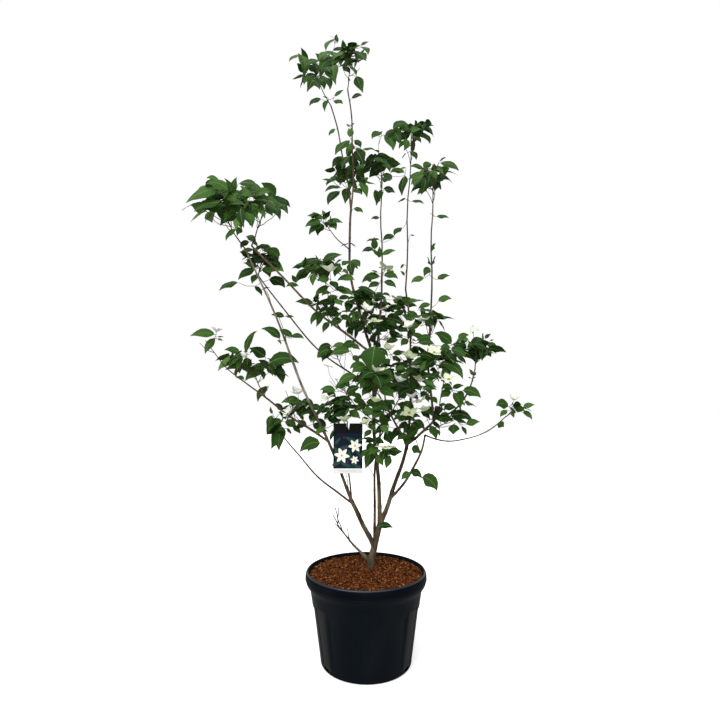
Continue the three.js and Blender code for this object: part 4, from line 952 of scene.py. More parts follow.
def make_bed():
    """A dark bed under the chips: the mulch's height, 5 lower and finely rippled, down to its foot."""
    turn = np.linspace(0, 2 * np.pi, BED_SIDES, endpoint=False)
    far = np.linspace(0.02, 1, BED_RINGS)[:, None] * BED_RADIUS
    x = far * np.cos(turn)
    y = far * np.sin(turn)
    z = mulch_height(x, y) - 5 + 1.5 * np.sin(0.4 * x) * np.sin(0.37 * y)
    rings = np.stack([x, y, z], axis=-1).reshape(-1, 3)
    foot = np.stack([x[-1], y[-1], np.full(BED_SIDES, float(BED_FOOT))], axis=-1)
    points = np.concatenate([rings, foot, [[0, 0, BED_TOP], [0, 0, BED_FOOT]]])
    faces = [part[:, ::-1] for part in tube_faces(BED_RINGS + 1, BED_SIDES)]
    bed = lay_mesh("mulch_bed", points, faces, [CHIPS[0]])
    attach(bed, "root")
    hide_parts("bark_mulch")


def make_chips(draw):
    """Loose bark chips. A chip is a box whose eight corners are each moved at random. It is tipped by
    0.3 radians or so, turned at random, and lies on the bed or on other chips."""
    count = CHIP_COUNT
    spread = CHIP_SPREAD * np.sqrt(draw.random(count))
    place_turn = draw.random(count) * 2 * np.pi
    size = np.stack([draw.uniform(*reach, count) for reach in CHIP_SIZES], axis=-1)
    square = ((-0.5, -0.5), (0.5, -0.5), (0.5, 0.5), (-0.5, 0.5))
    corners = np.array([(x, y, z) for z in (-0.5, 0.5) for x, y in square])
    shapes = corners * size[:, None, :] * draw.uniform(0.6, 1.25, (count, 8, 3))
    spin = draw.random(count) * 2 * np.pi
    tip = draw.normal(0, 0.3, count)
    shapes = turned(turned(shapes, tip[:, None], 0, 2), spin[:, None], 0, 1)
    x = spread * np.cos(place_turn)
    y = spread * np.sin(place_turn)
    z = mulch_height(x, y) + draw.uniform(-4, 2.5, count)
    points = shapes + np.stack([x, y, z], axis=-1)[:, None, :]
    points = points[np.hypot(points[..., 0], points[..., 1]).max(axis=1) < CHIP_LIMIT]
    box = np.array([(3, 2, 1, 0), (4, 5, 6, 7), (0, 1, 5, 4), (1, 2, 6, 5), (2, 3, 7, 6), (3, 0, 4, 7)])
    tone = draw.choice(len(CHIPS), len(points), p=CHIP_TONES)
    chips = lay_mesh("bark_chips", points.reshape(-1, 3), [repeat_faces(box, len(points), 8)], CHIPS,
                     np.repeat(tone, len(box)), smooth=False)
    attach(chips, "root")


# Limbs


def grow_limbs(crook=0.0, gap=0.0):
    """Each limb's line and its two radii, by name. A bough that leaves its parent's tip starts a gap
    beyond it."""
    name, start, tip, bow, radii = TRUNK
    limbs = {name: (Line(start, tip, bow), radii)}
    for name, parent, share, tip, bow, radii in BOUGHS:
        line = limbs[parent][0]
        start = line.at(share) + (line.heading(1.0) * gap if share == 1 else 0)
        limbs[name] = (Line(start, tip, bow, crook), radii)
    return limbs


def limb_radius(name, share, place, radii):
    """The radius falls evenly from foot to tip and swells by a quarter at the foot. The trunk has its
    root flare there, and the dead shoot its own steps."""
    radius = radii[0] + (radii[1] - radii[0]) * share
    swollen = 1 + 0.25 * np.exp(-place / (2.2 * radii[0]))
    if name == "trunk":
        return 0.94 * radius + ROOT_FLARE[0] * np.exp(-place / ROOT_FLARE[1])
    if name == "dead_shoot":
        return np.interp(share, [0, 0.2, 0.3, 0.6, 0.75, 1], [12, 9.6, 6.8, 5.4, 3.8, 2.0])
    if name == "left_leader":
        return 0.84 * radius * swollen
    return (1.2 if radii[0] < 7 else 1) * radius * swollen


def limb_shape(name, line, radii, draw):
    """A limb with its bark's relief. Its radius swells by 14 % in a narrow ring at each old leaf joint,
    by 8 % on the trunk, and waves by up to 3 % round and along it."""
    steps = int(np.clip(line.length / 7, 30, 170))
    sides = 28 if name == "trunk" else 16 if radii[0] > 9 else 10
    share = np.linspace(0, 1, steps)
    place = share * line.length
    radius = limb_radius(name, share, place, radii)
    spacing = 78 if radii[0] < 8 else 110
    joints = np.arange(spacing * 0.7, line.length, spacing)
    joints = joints + draw.normal(0, 9, len(joints))
    swell = np.exp(-((place[:, None] - joints) / (0.35 * radii[0] + 2.2)) ** 2).sum(axis=1)
    radius = radius * (1 + (0.08 if name == "trunk" else 0.14) * swell)
    turn = np.linspace(0, 2 * np.pi, sides, endpoint=False)
    phase = draw.random(4) * 6.28
    relief = 0
    for (times, slant, depth), start in zip(((2, 0.011, 0.030), (5, -0.05, 0.026), (3, 0.16, 0.018)), phase):
        relief = relief + depth * np.sin(times * turn + slant * place[:, None] + start)
    relief = relief + 0.012 * draw.normal(0, 1, (steps, sides))
    return rods(line.at(share)[None], (radius[:, None] * (1 + relief))[None], sides)


def make_limbs(limbs, draw):
    """One piece for each kind of bark, in place of the limbs that have it."""
    apart = ["left_leader", "left_arch", "dead_shoot"]
    old = [name for name in OLD_WOOD if name not in apart]
    young = [row[0] for row in BOUGHS if row[0] not in OLD_WOOD + apart]
    for piece_name, names, finish, slot in (
        ("trunk_bark", ["trunk"], OLD_BARK, "bark"),
        ("old_boughs", old, OLD_BARK, "bark"),
        ("grey_bough", ["left_leader"], GREY_BARK, "bark"),
        ("pale_shoot", ["left_arch"], PALE_BARK, "shoot_bark"),
        ("dead_shoot_wood", ["dead_shoot"], DEAD_WOOD, "dead_wood"),
        ("young_boughs", young, YOUNG_BARK, "shoot_bark"),
    ):
        shape = join_shapes([limb_shape(name, *limbs[name], draw) for name in names])
        piece = lay_mesh(piece_name, *shape, [finish])
        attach(piece, "root")
        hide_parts(*names)


# Where the leaves that show are: the lengths that they have, how broad a leaf looks at most as a share of
# its length, and how much of the length that the view hides is a lean to the front


SEEN_LENGTHS = (56, 78)
BROADEST = 0.66
LEAN_SHARE = 0.85
LEAST_BREADTH = 0.2
MOST_BREADTH = 0.4
FACING_BREADTH = 0.48


def at_depth(x, y, depth):
    """The point, in millimetres, that shows at x, y in the picture and stands at a depth along +Y: the
    slope of its ray gives its height, and then its way from the camera gives how far it is aside."""
    ahead = depth * MM - EYE[1]
    tilt = radians(LOOK_UP)
    slope = np.arctan((y - PICTURE_MIDDLE) / PICTURE_SCALE) - tilt
    up = EYE[2] - ahead * np.tan(slope)
    away = ahead * np.cos(tilt) + (up - EYE[2]) * np.sin(tilt)
    aside = (x - PICTURE_MIDDLE) / PICTURE_SCALE * away + EYE[0]
    return np.array([aside / MM, depth, up / MM])


def in_picture(points):
    """Where points in millimetres show in the picture."""
    x, y, z = (np.asarray(points) * MM - EYE).T
    tilt = radians(LOOK_UP)
    away = y * np.cos(tilt) + z * np.sin(tilt)
    up = z * np.cos(tilt) - y * np.sin(tilt)
    return PICTURE_MIDDLE + PICTURE_SCALE * np.stack([x / away, -up / away], axis=-1)


class Depths:
    """How deep the leaves that show stand: at random on the front side of their mass, and on the nearest
    limb or shoot where they belong to no mass or hang below it."""

    def __init__(self, draw):
        self.draw = draw
        self.masses = {row[0]: (row[3], row[4]) for row in MASSES}
        straight = {name: line for name, (line, _) in grow_limbs().items()}
        paths = [line.at(np.linspace(0, 1, 60)) for line in straight.values()]
        for _, limb, share, centre, *_ in MASSES:
            paths.append(Line(straight[limb].at(share), centre).at(np.linspace(0, 1, 30)))
        self.wood = np.concatenate(paths).round(1)
        self.shown = in_picture(self.wood)

    def on_wood(self, x, y):
        """The depth of the wood that shows nearest to a place in the picture, 10 more to 20 less."""
        nearest = np.argmin(np.hypot(*(self.shown - [x, y]).T))
        return self.wood[nearest][1] + self.draw.uniform(-20, 10)

    def of_leaf(self, mass, root, tip):
        """A leaf so high that it would leave the plant's height comes nearer, 10 at a time."""
        if mass not in self.masses:
            return self.on_wood(*root)
        centre, size = self.masses[mass]
        nearer = 0.75 if mass.startswith(("top", "canopy", "tall", "up")) else 0.35
        depth = centre[1] + self.draw.uniform(-nearer, 0.35) * size[1]
        if mass in STANDING_SPRAYS and root[1] > STEM_ROW:
            depth = self.on_wood(*root)
        while depth > NEAREST_TOP:
            heights = [at_depth(*root, depth)[2], at_depth(*tip, depth)[2]]
            if min(heights) <= TOP_LEAF[0] or max(heights) <= TOP_LEAF[1]:
                break
            depth -= 10
        return depth


def place_leaves():
    """For each leaf in SEEN_LEAVES its root, its way from there to its tip and half its width as a share
    of its length, to a millimetre and a hundredth. The tip leans to the front by as much as makes the
    leaf as long as such a leaf is, or longer where it looks broad. A leaf whose width is given as SHORT
    is as long as it looks, and so is the one that faces the front."""
    draw = np.random.default_rng(DEPTH_SEED)
    depths = Depths(draw)
    placed = {}
    for mass, rows in SEEN_LEAVES.items():
        placed[mass] = []
        for root_x, root_y, tip_x, tip_y, *more in rows:
            wide = more[0] if more else None
            facing = len(more) > 1
            depth = depths.of_leaf(mass, (root_x, root_y), (tip_x, tip_y))
            root = at_depth(root_x, root_y, depth)
            flat = np.linalg.norm(at_depth(tip_x, tip_y, depth) - root)
            length = flat if wide == SHORT else max(1.04 * flat, draw.uniform(*SEEN_LENGTHS))
            if wide:
                scale = np.linalg.norm(at_depth(root_x + 1, root_y, depth) - root)
                length = 1.02 * flat if facing else max(length, wide * scale / BROADEST)
            hidden = np.sqrt(max(length ** 2 - flat ** 2, 0))
            lean = max(-hidden * LEAN_SHARE, FRONT_LIMIT - depth)
            travel = at_depth(tip_x, tip_y, depth + lean) - root
            broad = None
            if wide:
                broad = wide * scale / 2 / np.linalg.norm(travel)
                most = FACING_BREADTH if facing else MOST_BREADTH
                broad = round(float(np.clip(broad, LEAST_BREADTH, most)), 2)
            placed[mass].append((np.round(root), np.round(travel), broad, facing))
    return placed


# Leaves


LEAF_ALONG = np.array([0.0, 0.06, 0.14, 0.26, 0.40, 0.55, 0.70, 0.85, 1.0])
BLADE_COLUMNS = 6
BLADE_MIDDLE = 0.55
STALK_SHARE = 0.06


def leaf_width(along):
    """Half width of a leaf, 1 at its widest: b^0.85 * (1-b)^1.4 over its own peak, where b is the place
    along the blade, which starts after the stalk."""
    blade = np.clip((along - STALK_SHARE) / (1 - STALK_SHARE), 0, 1)
    peak = 0.85 / (0.85 + 1.4)
    return blade ** 0.85 * (1 - blade) ** 1.4 / (peak ** 0.85 * (1 - peak) ** 1.4)


def leaf_blades(leaves):
    """All leaves at once. The middle rib starts along the leaf's heading and bends by its hang angle:
    sin(hang*u)/hang ahead and (1-cos(hang*u))/hang down. Across it the blade, turned about the rib by
    its roll, reaches out by its half width, and rises by its fold and by a wave along the edge."""

    def column(key):
        """One value of each leaf, set to be carried along its points."""
        return np.array([leaf.get(key, 0.0) for leaf in leaves])[:, None, None, None]

    root = np.array([leaf["root"] for leaf in leaves])
    ahead = unit([leaf["ahead"] for leaf in leaves])
    over = unit([leaf["over"] for leaf in leaves])
    length, broad, hang, fold = map(column, ("length", "broad", "hang", "fold"))
    phase, roll = map(column, ("phase", "roll"))
    aside = np.cross(ahead, over)[:, None, None, :]
    ahead = ahead[:, None, None, :]
    over = over[:, None, None, :]
    along = LEAF_ALONG[None, :, None, None]
    rib = 0.013 - 0.009 * along + 0 * broad
    half = np.maximum(broad * leaf_width(along), 1.15 * rib)
    middle = BLADE_MIDDLE * half + 0.45 * rib
    places = np.concatenate([-half, -middle, -rib, rib, middle, half], axis=2)
    spine = length * (ahead * np.sin(hang * along) / hang - over * (1 - np.cos(hang * along)) / hang)
    upright = over * np.cos(hang * along) + ahead * np.sin(hang * along)
    across = aside * np.cos(roll) - upright * np.sin(roll)
    upright = upright * np.cos(roll) + aside * np.sin(roll)
    wave = 0.13 * np.sin(2 * np.pi * 1.7 * along + phase) * np.abs(places) ** 1.2
    lift = fold * np.abs(places) - 0.9 * places ** 2 + wave
    return root[:, None, None, :] + spine + length * (places * across + lift * upright)


def blade_faces(count):
    """The quads of one blade, and those of all of them."""
    quads = grid_faces(len(LEAF_ALONG), BLADE_COLUMNS, closed=False)
    return quads, repeat_faces(quads, count, len(LEAF_ALONG) * BLADE_COLUMNS)


def make_leaves(leaves, names):
    """All leaves as one piece, each in its green, with its middle rib lighter. The grain is the place
    along the leaf and across it, 0 at the rib and 1 at the edge."""
    quads, faces = blade_faces(len(leaves))
    rib = (quads[:, 0] % BLADE_COLUMNS) == 2
    tone = np.array([leaf["tone"] for leaf in leaves])
    finish = np.where(rib[None, :], len(GREENS), tone[:, None]).ravel()
    across = np.array([1.0, BLADE_MIDDLE, 0.05, 0.05, BLADE_MIDDLE, 1.0])
    grain = np.stack(np.broadcast_arrays(LEAF_ALONG[:, None], across[None, :]), axis=-1).reshape(-1, 2)
    grain = np.tile(grain[quads].reshape(-1, 2), (len(leaves), 1))
    points = leaf_blades(leaves).reshape(-1, 3)
    piece = lay_mesh("leaves", points, [faces], [*GREENS, LEAF_RIB], finish, grain)
    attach(piece, "root")
    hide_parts(*names)


def anywhere(point):
    """The space of leaves on a limb itself: everywhere but right in front of the tag."""
    before_tag = abs(point[0] - TAG["middle"]) < 90 and point[1] < -50
    return not (before_tag and -280 < point[2] - TAG["top"] < 10)


def space_of(centre, size, share):
    """A mass's space: the points whose way from its middle, over its half axes, is less than the share."""
    return lambda point: np.linalg.norm((point - centre) / size) < share


def spread_direction(index, count, depth, start):
    """One of a number of directions spread evenly by the golden angle, over a ball from its top down by
    depth: height 1 - depth*(index + 0.5)/count."""
    height = 1 - depth * (index + 0.5) / count
    ring = np.sqrt(1 - height * height)
    turn = index * GOLDEN_ANGLE + start
    return np.array([np.cos(turn) * ring, np.sin(turn) * ring, height])


def sag(low, high, share):
    """The bow of a twig that sags by a share of its length."""
    return (0, 0, -share * np.linalg.norm(high - low))


class Crown:
    """What grows on the limbs: leaves, and the lines of the twigs that carry them."""

    def __init__(self, limbs, draw):
        self.limbs = limbs
        self.draw = draw
        self.placed = place_leaves()
        self.leaves = []
        self.twigs = []
        low, high = np.array(CAD_BOX) / MM
        self.low = low - 0.02 * (high - low)
        self.high = high + 0.02 * (high - low)

    def add_twig(self, line, foot, tip):
        """A twig along a line, with its radius at foot and tip."""
        shares = np.linspace(0, 1, TWIG_STEPS)
        self.twigs.append((line.at(shares), np.linspace(foot, tip, TWIG_STEPS)))

    def add_leaf(self, root, ahead, length, tone, inside):
        """A leaf from root that hangs with its weight. Its blade is rolled about its rib until its upper
        side leans out from the plant's middle. It is drawn shorter where its tip would leave its space,
        and left out past that."""
        draw = self.draw
        outward = unit(np.array([root[0] - 40, root[1] - 60, 0.0]))
        over = UP - ahead * ahead[2]
        over = unit(over) if np.linalg.norm(over) > 0.15 else unit(outward - ahead * outward.dot(ahead))
        aside = np.cross(ahead, over)
        face = UP + outward * draw.normal(1.3, 0.5)
        roll = np.clip(np.arctan2(face.dot(aside), face.dot(over)), -1.2, 1.2) + draw.normal(0, 0.25)
        hang = draw.uniform(0.4, 1.25)
        for share in (1, 0.85, 0.7):
            reach = length * share * np.sin(hang) / hang
            fall = length * share * (1 - np.cos(hang)) / hang
            tip = root + ahead * reach - over * fall
            if inside(tip) and (tip > self.low).all() and (tip < self.high).all():
                self.leaves.append({
                    "root": root, "ahead": ahead, "over": over, "length": length * share, "hang": hang,
                    "fold": draw.uniform(-0.1, 0.4), "phase": draw.random() * 6.28, "roll": roll,
                    "broad": draw.uniform(0.25, 0.295), "tone": tone,
                })
                return

    def add_pair(self, line, share, turn, forward, length, tone, inside):
        """Two opposite leaves. Each heads forward along the twig and out to its side, and is then laid
        flatter, as in the solids."""
        heading = line.heading(share)
        level = np.cross(UP, heading)
        level = unit(level) if np.linalg.norm(level) > 0.25 else np.array([1.0, 0.0, 0.0])
        level = unit(level - heading * level.dot(heading))
        upright = unit(np.cross(heading, level))
        for side in (0, np.pi):
            ahead = forward * heading + np.cos(turn + side) * level + np.sin(turn + side) * upright
            ahead[2] = 0.5 * ahead[2] + 0.12 - 0.4 * self.draw.random()
            self.add_leaf(line.at(share), unit(ahead), length * self.draw.uniform(0.84, 1.18), tone, inside)

    def pick_tone(self, middle, spread):
        """A green near a middle place of the list, from dark to light."""
        return int(np.clip(round(self.draw.normal(middle, spread)), 0, len(GREENS) - 1))

    def leafy_twig(self, line, length, light, inside, pairs):
        """Two pairs of leaves close together at the twig's tip, a quarter turn apart, and smaller pairs
        further down where the twig is long enough."""
        # The mass's light sets the middle green: painted light and shade, with the tone also drawn at random
        tone = self.pick_tone(0.5 + 2.8 * light, 0.95)
        turn = self.draw.random() * np.pi
        size = 1.0
        place = line.length * 0.99
        for pair in range(pairs):
            forward = 0.8 if pair == 0 else 0.4
            self.add_pair(line, max(place / line.length, 0.01), turn, forward, length * size, tone, inside)
            turn += np.pi / 2
            size -= 0.06 if pair == 0 else 0.14
            place -= 12 if pair == 0 else 58 * self.draw.uniform(0.85, 1.15)
            if place < 0.35 * line.length:
                return

    def grow_mass(self, index, row):
        """A mass by the rule of the solids, then its finer twigs by the same rule, and last the leaves
        that have a place of their own. Where it has such leaves, its twigs carry few besides."""
        name, limb, share, centre, size, twigs, finer, leaf, light = row
        line = self.limbs[limb][0]
        centre = np.array(centre, dtype=float)
        size = np.array(size, dtype=float)
        start = line.at(share) + (line.heading(1.0) * GAP if share == 1 else 0)
        placed = self.placed.get(name, [])
        long = np.linalg.norm(centre - start) > LONG_SHOOT
        shoot = Line(start, centre, sag(start, centre, 0 if long else 0.08), 0.01)
        self.add_twig(shoot, *(LONG_SHOOT_RADII if long else SHOOT_RADII))
        inside = space_of(centre, size, 1.3)
        seed = index + 1
        for i in range(twigs):
            outward = spread_direction(i, twigs, 2, seed)
            height = outward[2]
            tip = centre + outward * np.maximum(size - LEAF_ROOM, LEAST_REACH * size)
            along = shoot.length - (0.3 + 0.25 * (1 - height)) * size.min()
            foot = shoot.at(max(0.3, along / shoot.length))
            twig = Line(foot, tip, sag(foot, tip, 0.1), 0.02)
            self.add_twig(twig, *TWIG_RADII)
            if not placed:
                self.leafy_twig(twig, leaf, light, inside, 3 if height > 0.1 else 2 if height > -0.4 else 1)
            elif height > -0.1 and name not in BARE:
                self.leafy_twig(twig, 0.9 * leaf, light, inside, 1)
        for i in range(finer):
            outward = spread_direction(i, finer, 1.5, 2.4 * seed)
            reach = np.maximum(size - 0.55 * leaf, 0.4 * size)
            tip = centre + outward * reach * self.draw.uniform(0.85, 1.1)
            along = shoot.length - (0.15 + 0.45 * (1 - outward[2])) * size.min()
            foot = shoot.at(max(0.25, along / shoot.length))
            twig = Line(foot, tip, sag(foot, tip, 0.14), 0.03)
            self.add_twig(twig, *FINE_RADII)
            self.leafy_twig(twig, leaf * 0.95, light, inside, 2)
        if name not in BARE:
            self.leafy_twig(Line(shoot.at(0.8), centre), leaf, light, inside, 1 if placed else 2)
        for place in placed:
            self.add_placed_leaf(*place, light)

    def dress_limb(self, limb, low, high, spacing, reach, leaf):
        """Side twigs along a limb, a golden angle from one to the next, heading out and up, each with two
        pairs of leaves at its tip. Where the reach is under 30 the pair stands on the limb itself."""
        line = self.limbs[limb][0]
        turn = self.draw.random() * 6.28
        for place in np.arange(low * line.length, high * line.length, spacing):
            share = np.clip((place + self.draw.uniform(-0.2, 0.2) * spacing) / line.length, 0.01, 0.99)
            tone = self.pick_tone(0.5 + 2.8 * LIMB_LIGHT, 0.95)
            size = leaf * self.draw.uniform(0.8, 1.12)
            turn += GOLDEN_ANGLE
            if reach < 30:
                self.add_pair(line, share, turn, 0.35, size, tone, anywhere)
                continue
            heading = line.heading(share)
            foot = line.at(share)
            out = np.array([np.cos(turn), np.sin(turn), 0.25]) + 0.6 * heading
            tip = foot + unit(out) * reach * self.draw.uniform(0.6, 1.35)
            twig = Line(foot, tip, (0, 0, -0.1 * reach), 0.03)
            self.add_twig(twig, *SIDE_TWIG_RADII)
            self.add_pair(twig, 0.99, self.draw.random() * np.pi, 0.8, size, tone, anywhere)
            if self.draw.random() < 0.65:
                self.add_pair(twig, 0.82, self.draw.random() * np.pi, 0.4, size * 0.9, tone, anywhere)

    def nearest_wood(self, point):
        """The nearest place on a limb or twig to a point."""
        paths = [line.at(np.linspace(0, 1, 60)) for line, _ in self.limbs.values()]
        wood = np.concatenate(paths + [path for path, _ in self.twigs])
        return wood[np.argmin(np.linalg.norm(wood - point, axis=1))]

    def add_placed_leaf(self, root, travel, broad, facing, light):
        """A leaf from its root to its tip, on a stalk from the nearest twig. Its rib arches over the
        straight way between the two, and the blade is rolled about it towards the front. Where it is
        known how broad it is, a hanging blade turns on from there, to the left and right by turns."""
        draw = self.draw
        foot = self.nearest_wood(root)
        if np.linalg.norm(root - foot) > LEAST_STALK:
            self.add_twig(Line(foot, root, sag(foot, root, 0.08), 0.02), *LEAF_STALK_RADII)
        along = unit(travel)
        wild = 1.0 if broad is None else 0.0
        count = len(self.leaves)
        swing = 0 if broad is None or facing else (0.5 + 0.2 * np.sin(5 * count)) * (-1) ** count * along[2]
        face = np.array([draw.normal(0, 0.5) * wild + 1.1 * np.sin(swing),
                         draw.normal(0, 0.45) * wild - 1.1 * np.cos(swing), 0.45 + 0.3 * wild])
        over = UP - along * along[2]
        if np.linalg.norm(over) < 0.45:
            over = face - along * face.dot(along)
        hang = draw.uniform(0.7, 1.5)
        ahead = unit(along + unit(over) * np.tan(hang / 2))
        over = unit(over - ahead * over.dot(ahead))
        roll = np.arctan2(face.dot(np.cross(ahead, over)), face.dot(over))
        # Its green is set by the light of its mass or limb: painted light and shade, with the tone also
        # drawn at random
        self.leaves.append({
            "root": root, "ahead": ahead, "over": over, "hang": hang, "roll": np.clip(roll, -1.35, 1.35),
            "length": np.linalg.norm(travel) * 0.5 * hang / np.sin(0.5 * hang),
            "fold": draw.uniform(-0.05, 0.3), "phase": draw.random() * 6.28,
            "broad": draw.uniform(0.21, 0.27) if broad is None else broad,
            "tone": self.pick_tone(0.7 + 2.8 * light, 0.8),
        })
        if facing:
            self.leaves[-1]["tone"] = FACING_TONE

    def fill_back(self, row):
        """Two further twigs with leaves on the far side of a mass, so that it is as deep as it is broad.
        They rise more the higher the mass stands."""
        limb, share, centre, size = row[1:5]
        leaf, light = row[7:]
        shoot = Line(self.limbs[limb][0].at(share), centre)
        centre = np.array(centre, dtype=float)
        size = np.array(size, dtype=float)
        inside = space_of(centre, size, 1.2)
        for side in (-1, 1):
            tip = centre + (size - 0.5 * leaf) * (0.5 * side, 0.85, 0)
            tip[2] += size[2] * np.clip((centre[2] - 1100) / 2600, 0.1, 0.75)
            twig = Line(shoot.at(0.8), tip, (0, 0, 0), 0.03)
            self.add_twig(twig, *FINE_RADII)
            self.leafy_twig(twig, 0.95 * leaf, light, inside, 2)

    def add_stalk(self, blossom):
        """The line of a flower's stalk, from the twig nearest to a point 45 below the flower."""
        points = np.concatenate([path for path, _ in self.twigs])
        far = np.linalg.norm(points - (blossom - np.array([0, 0, 45.0])), axis=1)
        foot = points[np.argmin(far)]
        self.add_twig(Line(foot, blossom, sag(foot, blossom, 0.1)), *FLOWER_STALK_RADII)


def make_twigs(crown):
    """All twigs and stalks as one piece of six-sided rods."""
    paths = np.array([path for path, _ in crown.twigs])
    radii = np.array([radius for _, radius in crown.twigs])
    piece = lay_mesh("fine_twigs", *rods(paths, radii, 6), [TWIG_BARK])
    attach(piece, "root")


# Blossom


HEAD_RADIUS = 5.2
HEAD_RINGS = 6
HEAD_SIDES = 10


def flower_places():
    """The middle of each flower, with its cup, colour and length where those are given. One that shows
    stands on the front side of its mass, by BLOSSOM_FORWARD of its reach. Its distance from the camera
    is reckoned in metres, and its depth is that to a whole millimetre."""
    ahead = {row[0]: (row[3][1] - BLOSSOM_FORWARD * row[4][1]) / 1000 - EYE[1] for row in MASSES}
    depths = {mass: round((distance + EYE[1]) / MM) for mass, distance in ahead.items()}
    places = []
    for mass, x, y, *given in SEEN_BLOSSOMS:
        places.append((np.round(at_depth(x, y, depths.get(mass, mass))), given))
    return places + [(np.array(place, dtype=float), ()) for place in BACK_BLOSSOMS]


def make_blossoms(crown, draw):
    """Each flower is four pointed bracts round a green head, facing up and tipped a little. A bract
    is worked out as a leaf is, shorter and broader. It bends outward, or inward in a cupped flower."""
    bracts = []
    heads = []
    for middle, given in flower_places():
        crown.add_stalk(middle)
        tip_turn = draw.random() * 2 * np.pi
        tilt = draw.uniform(0.1, 0.8)
        axis = unit(np.array([np.cos(tip_turn) * tilt, np.sin(tip_turn) * tilt - 0.35, 1.0]))
        side = unit(np.cross(axis, np.array([0.3, 0.9, 0.1])))
        other = np.cross(axis, side)
        tone = int(draw.choice(len(BRACTS), p=[0.4, 0.33, 0.27]))
        length = draw.uniform(44, 55)
        spin = draw.random() * 1.5
        cupped = -1 if draw.random() < 0.55 else 1
        if given:
            cupped, tone, length = given
        for quarter in range(4):
            turn = spin + quarter * np.pi / 2 + draw.normal(0, 0.08)
            out = np.cos(turn) * side + np.sin(turn) * other
            ahead = unit(out + axis * (draw.uniform(0.2, 0.6) if cupped < 0 else draw.uniform(0.4, 0.9)))
            over = cupped * unit(axis - ahead * axis.dot(ahead))
            bracts.append({
                "root": middle + out * 2, "ahead": ahead, "over": over,
                "length": length * draw.uniform(0.92, 1.08), "hang": draw.uniform(0.3, 1.0),
                "fold": cupped * draw.uniform(0.0, 0.3), "phase": draw.random() * 6.28,
                "broad": draw.uniform(0.35, 0.42), "tone": tone,
            })
        heads.append(middle + axis * 4)
    quads, faces = blade_faces(len(bracts))
    tone = np.repeat([bract["tone"] for bract in bracts], len(quads))
    piece = lay_mesh("blossom_bracts", leaf_blades(bracts).reshape(-1, 3), [faces], BRACTS, tone)
    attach(piece, "root")
    make_flower_heads(heads)


def make_flower_heads(heads):
    """Green balls with bumps: radius*(1 + 0.07*sin(5*turn)*sin(4*theta)), theta from the top down."""
    theta = np.linspace(0, np.pi, HEAD_RINGS + 2)[1:-1][:, None]
    turn = np.linspace(0, 2 * np.pi, HEAD_SIDES, endpoint=False)[None, :]
    bumps = HEAD_RADIUS * (1 + 0.07 * np.sin(5 * turn) * np.sin(4 * theta))
    ball = np.stack([bumps * np.sin(theta) * np.cos(turn), bumps * np.sin(theta) * np.sin(turn),
                     bumps * np.cos(theta) + 0 * turn], axis=-1).reshape(-1, 3)
    ball = np.concatenate([ball, [[0, 0, HEAD_RADIUS], [0, 0, -HEAD_RADIUS]]])
    quads, fans = tube_faces(HEAD_RINGS, HEAD_SIDES)
    faces = [repeat_faces(part, len(heads), len(ball)) for part in (quads[:, ::-1], fans[:, [1, 0, 2]])]
    points = (ball[None] + np.array(heads)[:, None, :]).reshape(-1, 3)
    piece = lay_mesh("flower_heads", points, faces, [FLOWER_HEAD])
    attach(piece, "root")


# Tag: its plate and tie are the solid's own, and its print is laid on the plate's front


TAG = {"middle": -91, "front": -82, "thickness": 1.6, "top": 1157}
SPRIG_LEAVES = [
    (-52, -196, 0.5, 30), (-8, -206, -0.3, 26), (34, -188, 1.2, 28), (54, -150, 2.2, 24),
    (-58, -140, 1.9, 26), (-14, -120, 0.3, 26), (14, -82, 2.7, 30), (-52, -88, 0.9, 22),
    (56, -84, 0.4, 24), (8, -160, 1.7, 26), (46, -214, 2.9, 20),
]
BERRIES = ((-20, -70), (62, -176), (-60, -168), (0, -190), (60, -112))
PRINTED_FLOWERS = ((36, -112, 32), (-30, -160, 36), (34, -182, 20))


def flat_shape(outline, lift):
    """A flat face on the tag's front: its outline in millimetres from the tag's top middle, as a fan
    round its own middle, standing lift proud, with a rim back to the plate."""
    outline = np.asarray(outline, dtype=float)
    front = TAG["front"] - TAG["thickness"] - lift
    back = TAG["front"] - TAG["thickness"] - 0.01
    count = len(outline)
    x = TAG["middle"] + outline[:, 0]
    z = TAG["top"] + outline[:, 1]
    face = np.stack([x, np.full(count, front), z], axis=-1)
    rim = np.stack([x, np.full(count, back), z], axis=-1)
    middle = face.mean(axis=0, keepdims=True)
    first = np.arange(count)
    after = (first + 1) % count
    fan = np.stack([first, after, np.full(count, 2 * count)], axis=-1)
    edge = np.stack([first, first + count, after + count, after], axis=-1)
    return np.concatenate([face, rim, middle]), [edge, fan]


def oval(x, z, long, short, turn, corners=18):
    """An oval with its middle at x, z, its long half axis turned from +X, and one pointed end."""
    angle = np.linspace(0, 2 * np.pi, corners, endpoint=False)
    along = long * np.cos(angle)
    across = short * np.sin(angle) * (1 - 0.35 * np.cos(angle))
    return np.stack([x + along * np.cos(turn) - across * np.sin(turn),
                     z + along * np.sin(turn) + across * np.cos(turn)], axis=-1)


def panel(x0, x1, z0, z1):
    """An upright rectangle's corners."""
    return [(x0, z0), (x1, z0), (x1, z1), (x0, z1)]


def printed_flowers():
    """The petals of the printed flowers, six to a flower and each a little prouder, and their eyes."""
    petals = []
    eyes = []
    for x, z, size in PRINTED_FLOWERS:
        for petal in range(6):
            turn = petal * np.pi / 3 + 0.2 * size
            middle = (x + 0.58 * size * np.cos(turn), z + 0.58 * size * np.sin(turn))
            petals.append(flat_shape(oval(*middle, 0.5 * size, 0.26 * size, turn), 0.4 + 0.03 * petal))
        eyes.append(flat_shape(oval(x, z, 0.16 * size, 0.16 * size, 0), 0.8))
    return petals, eyes


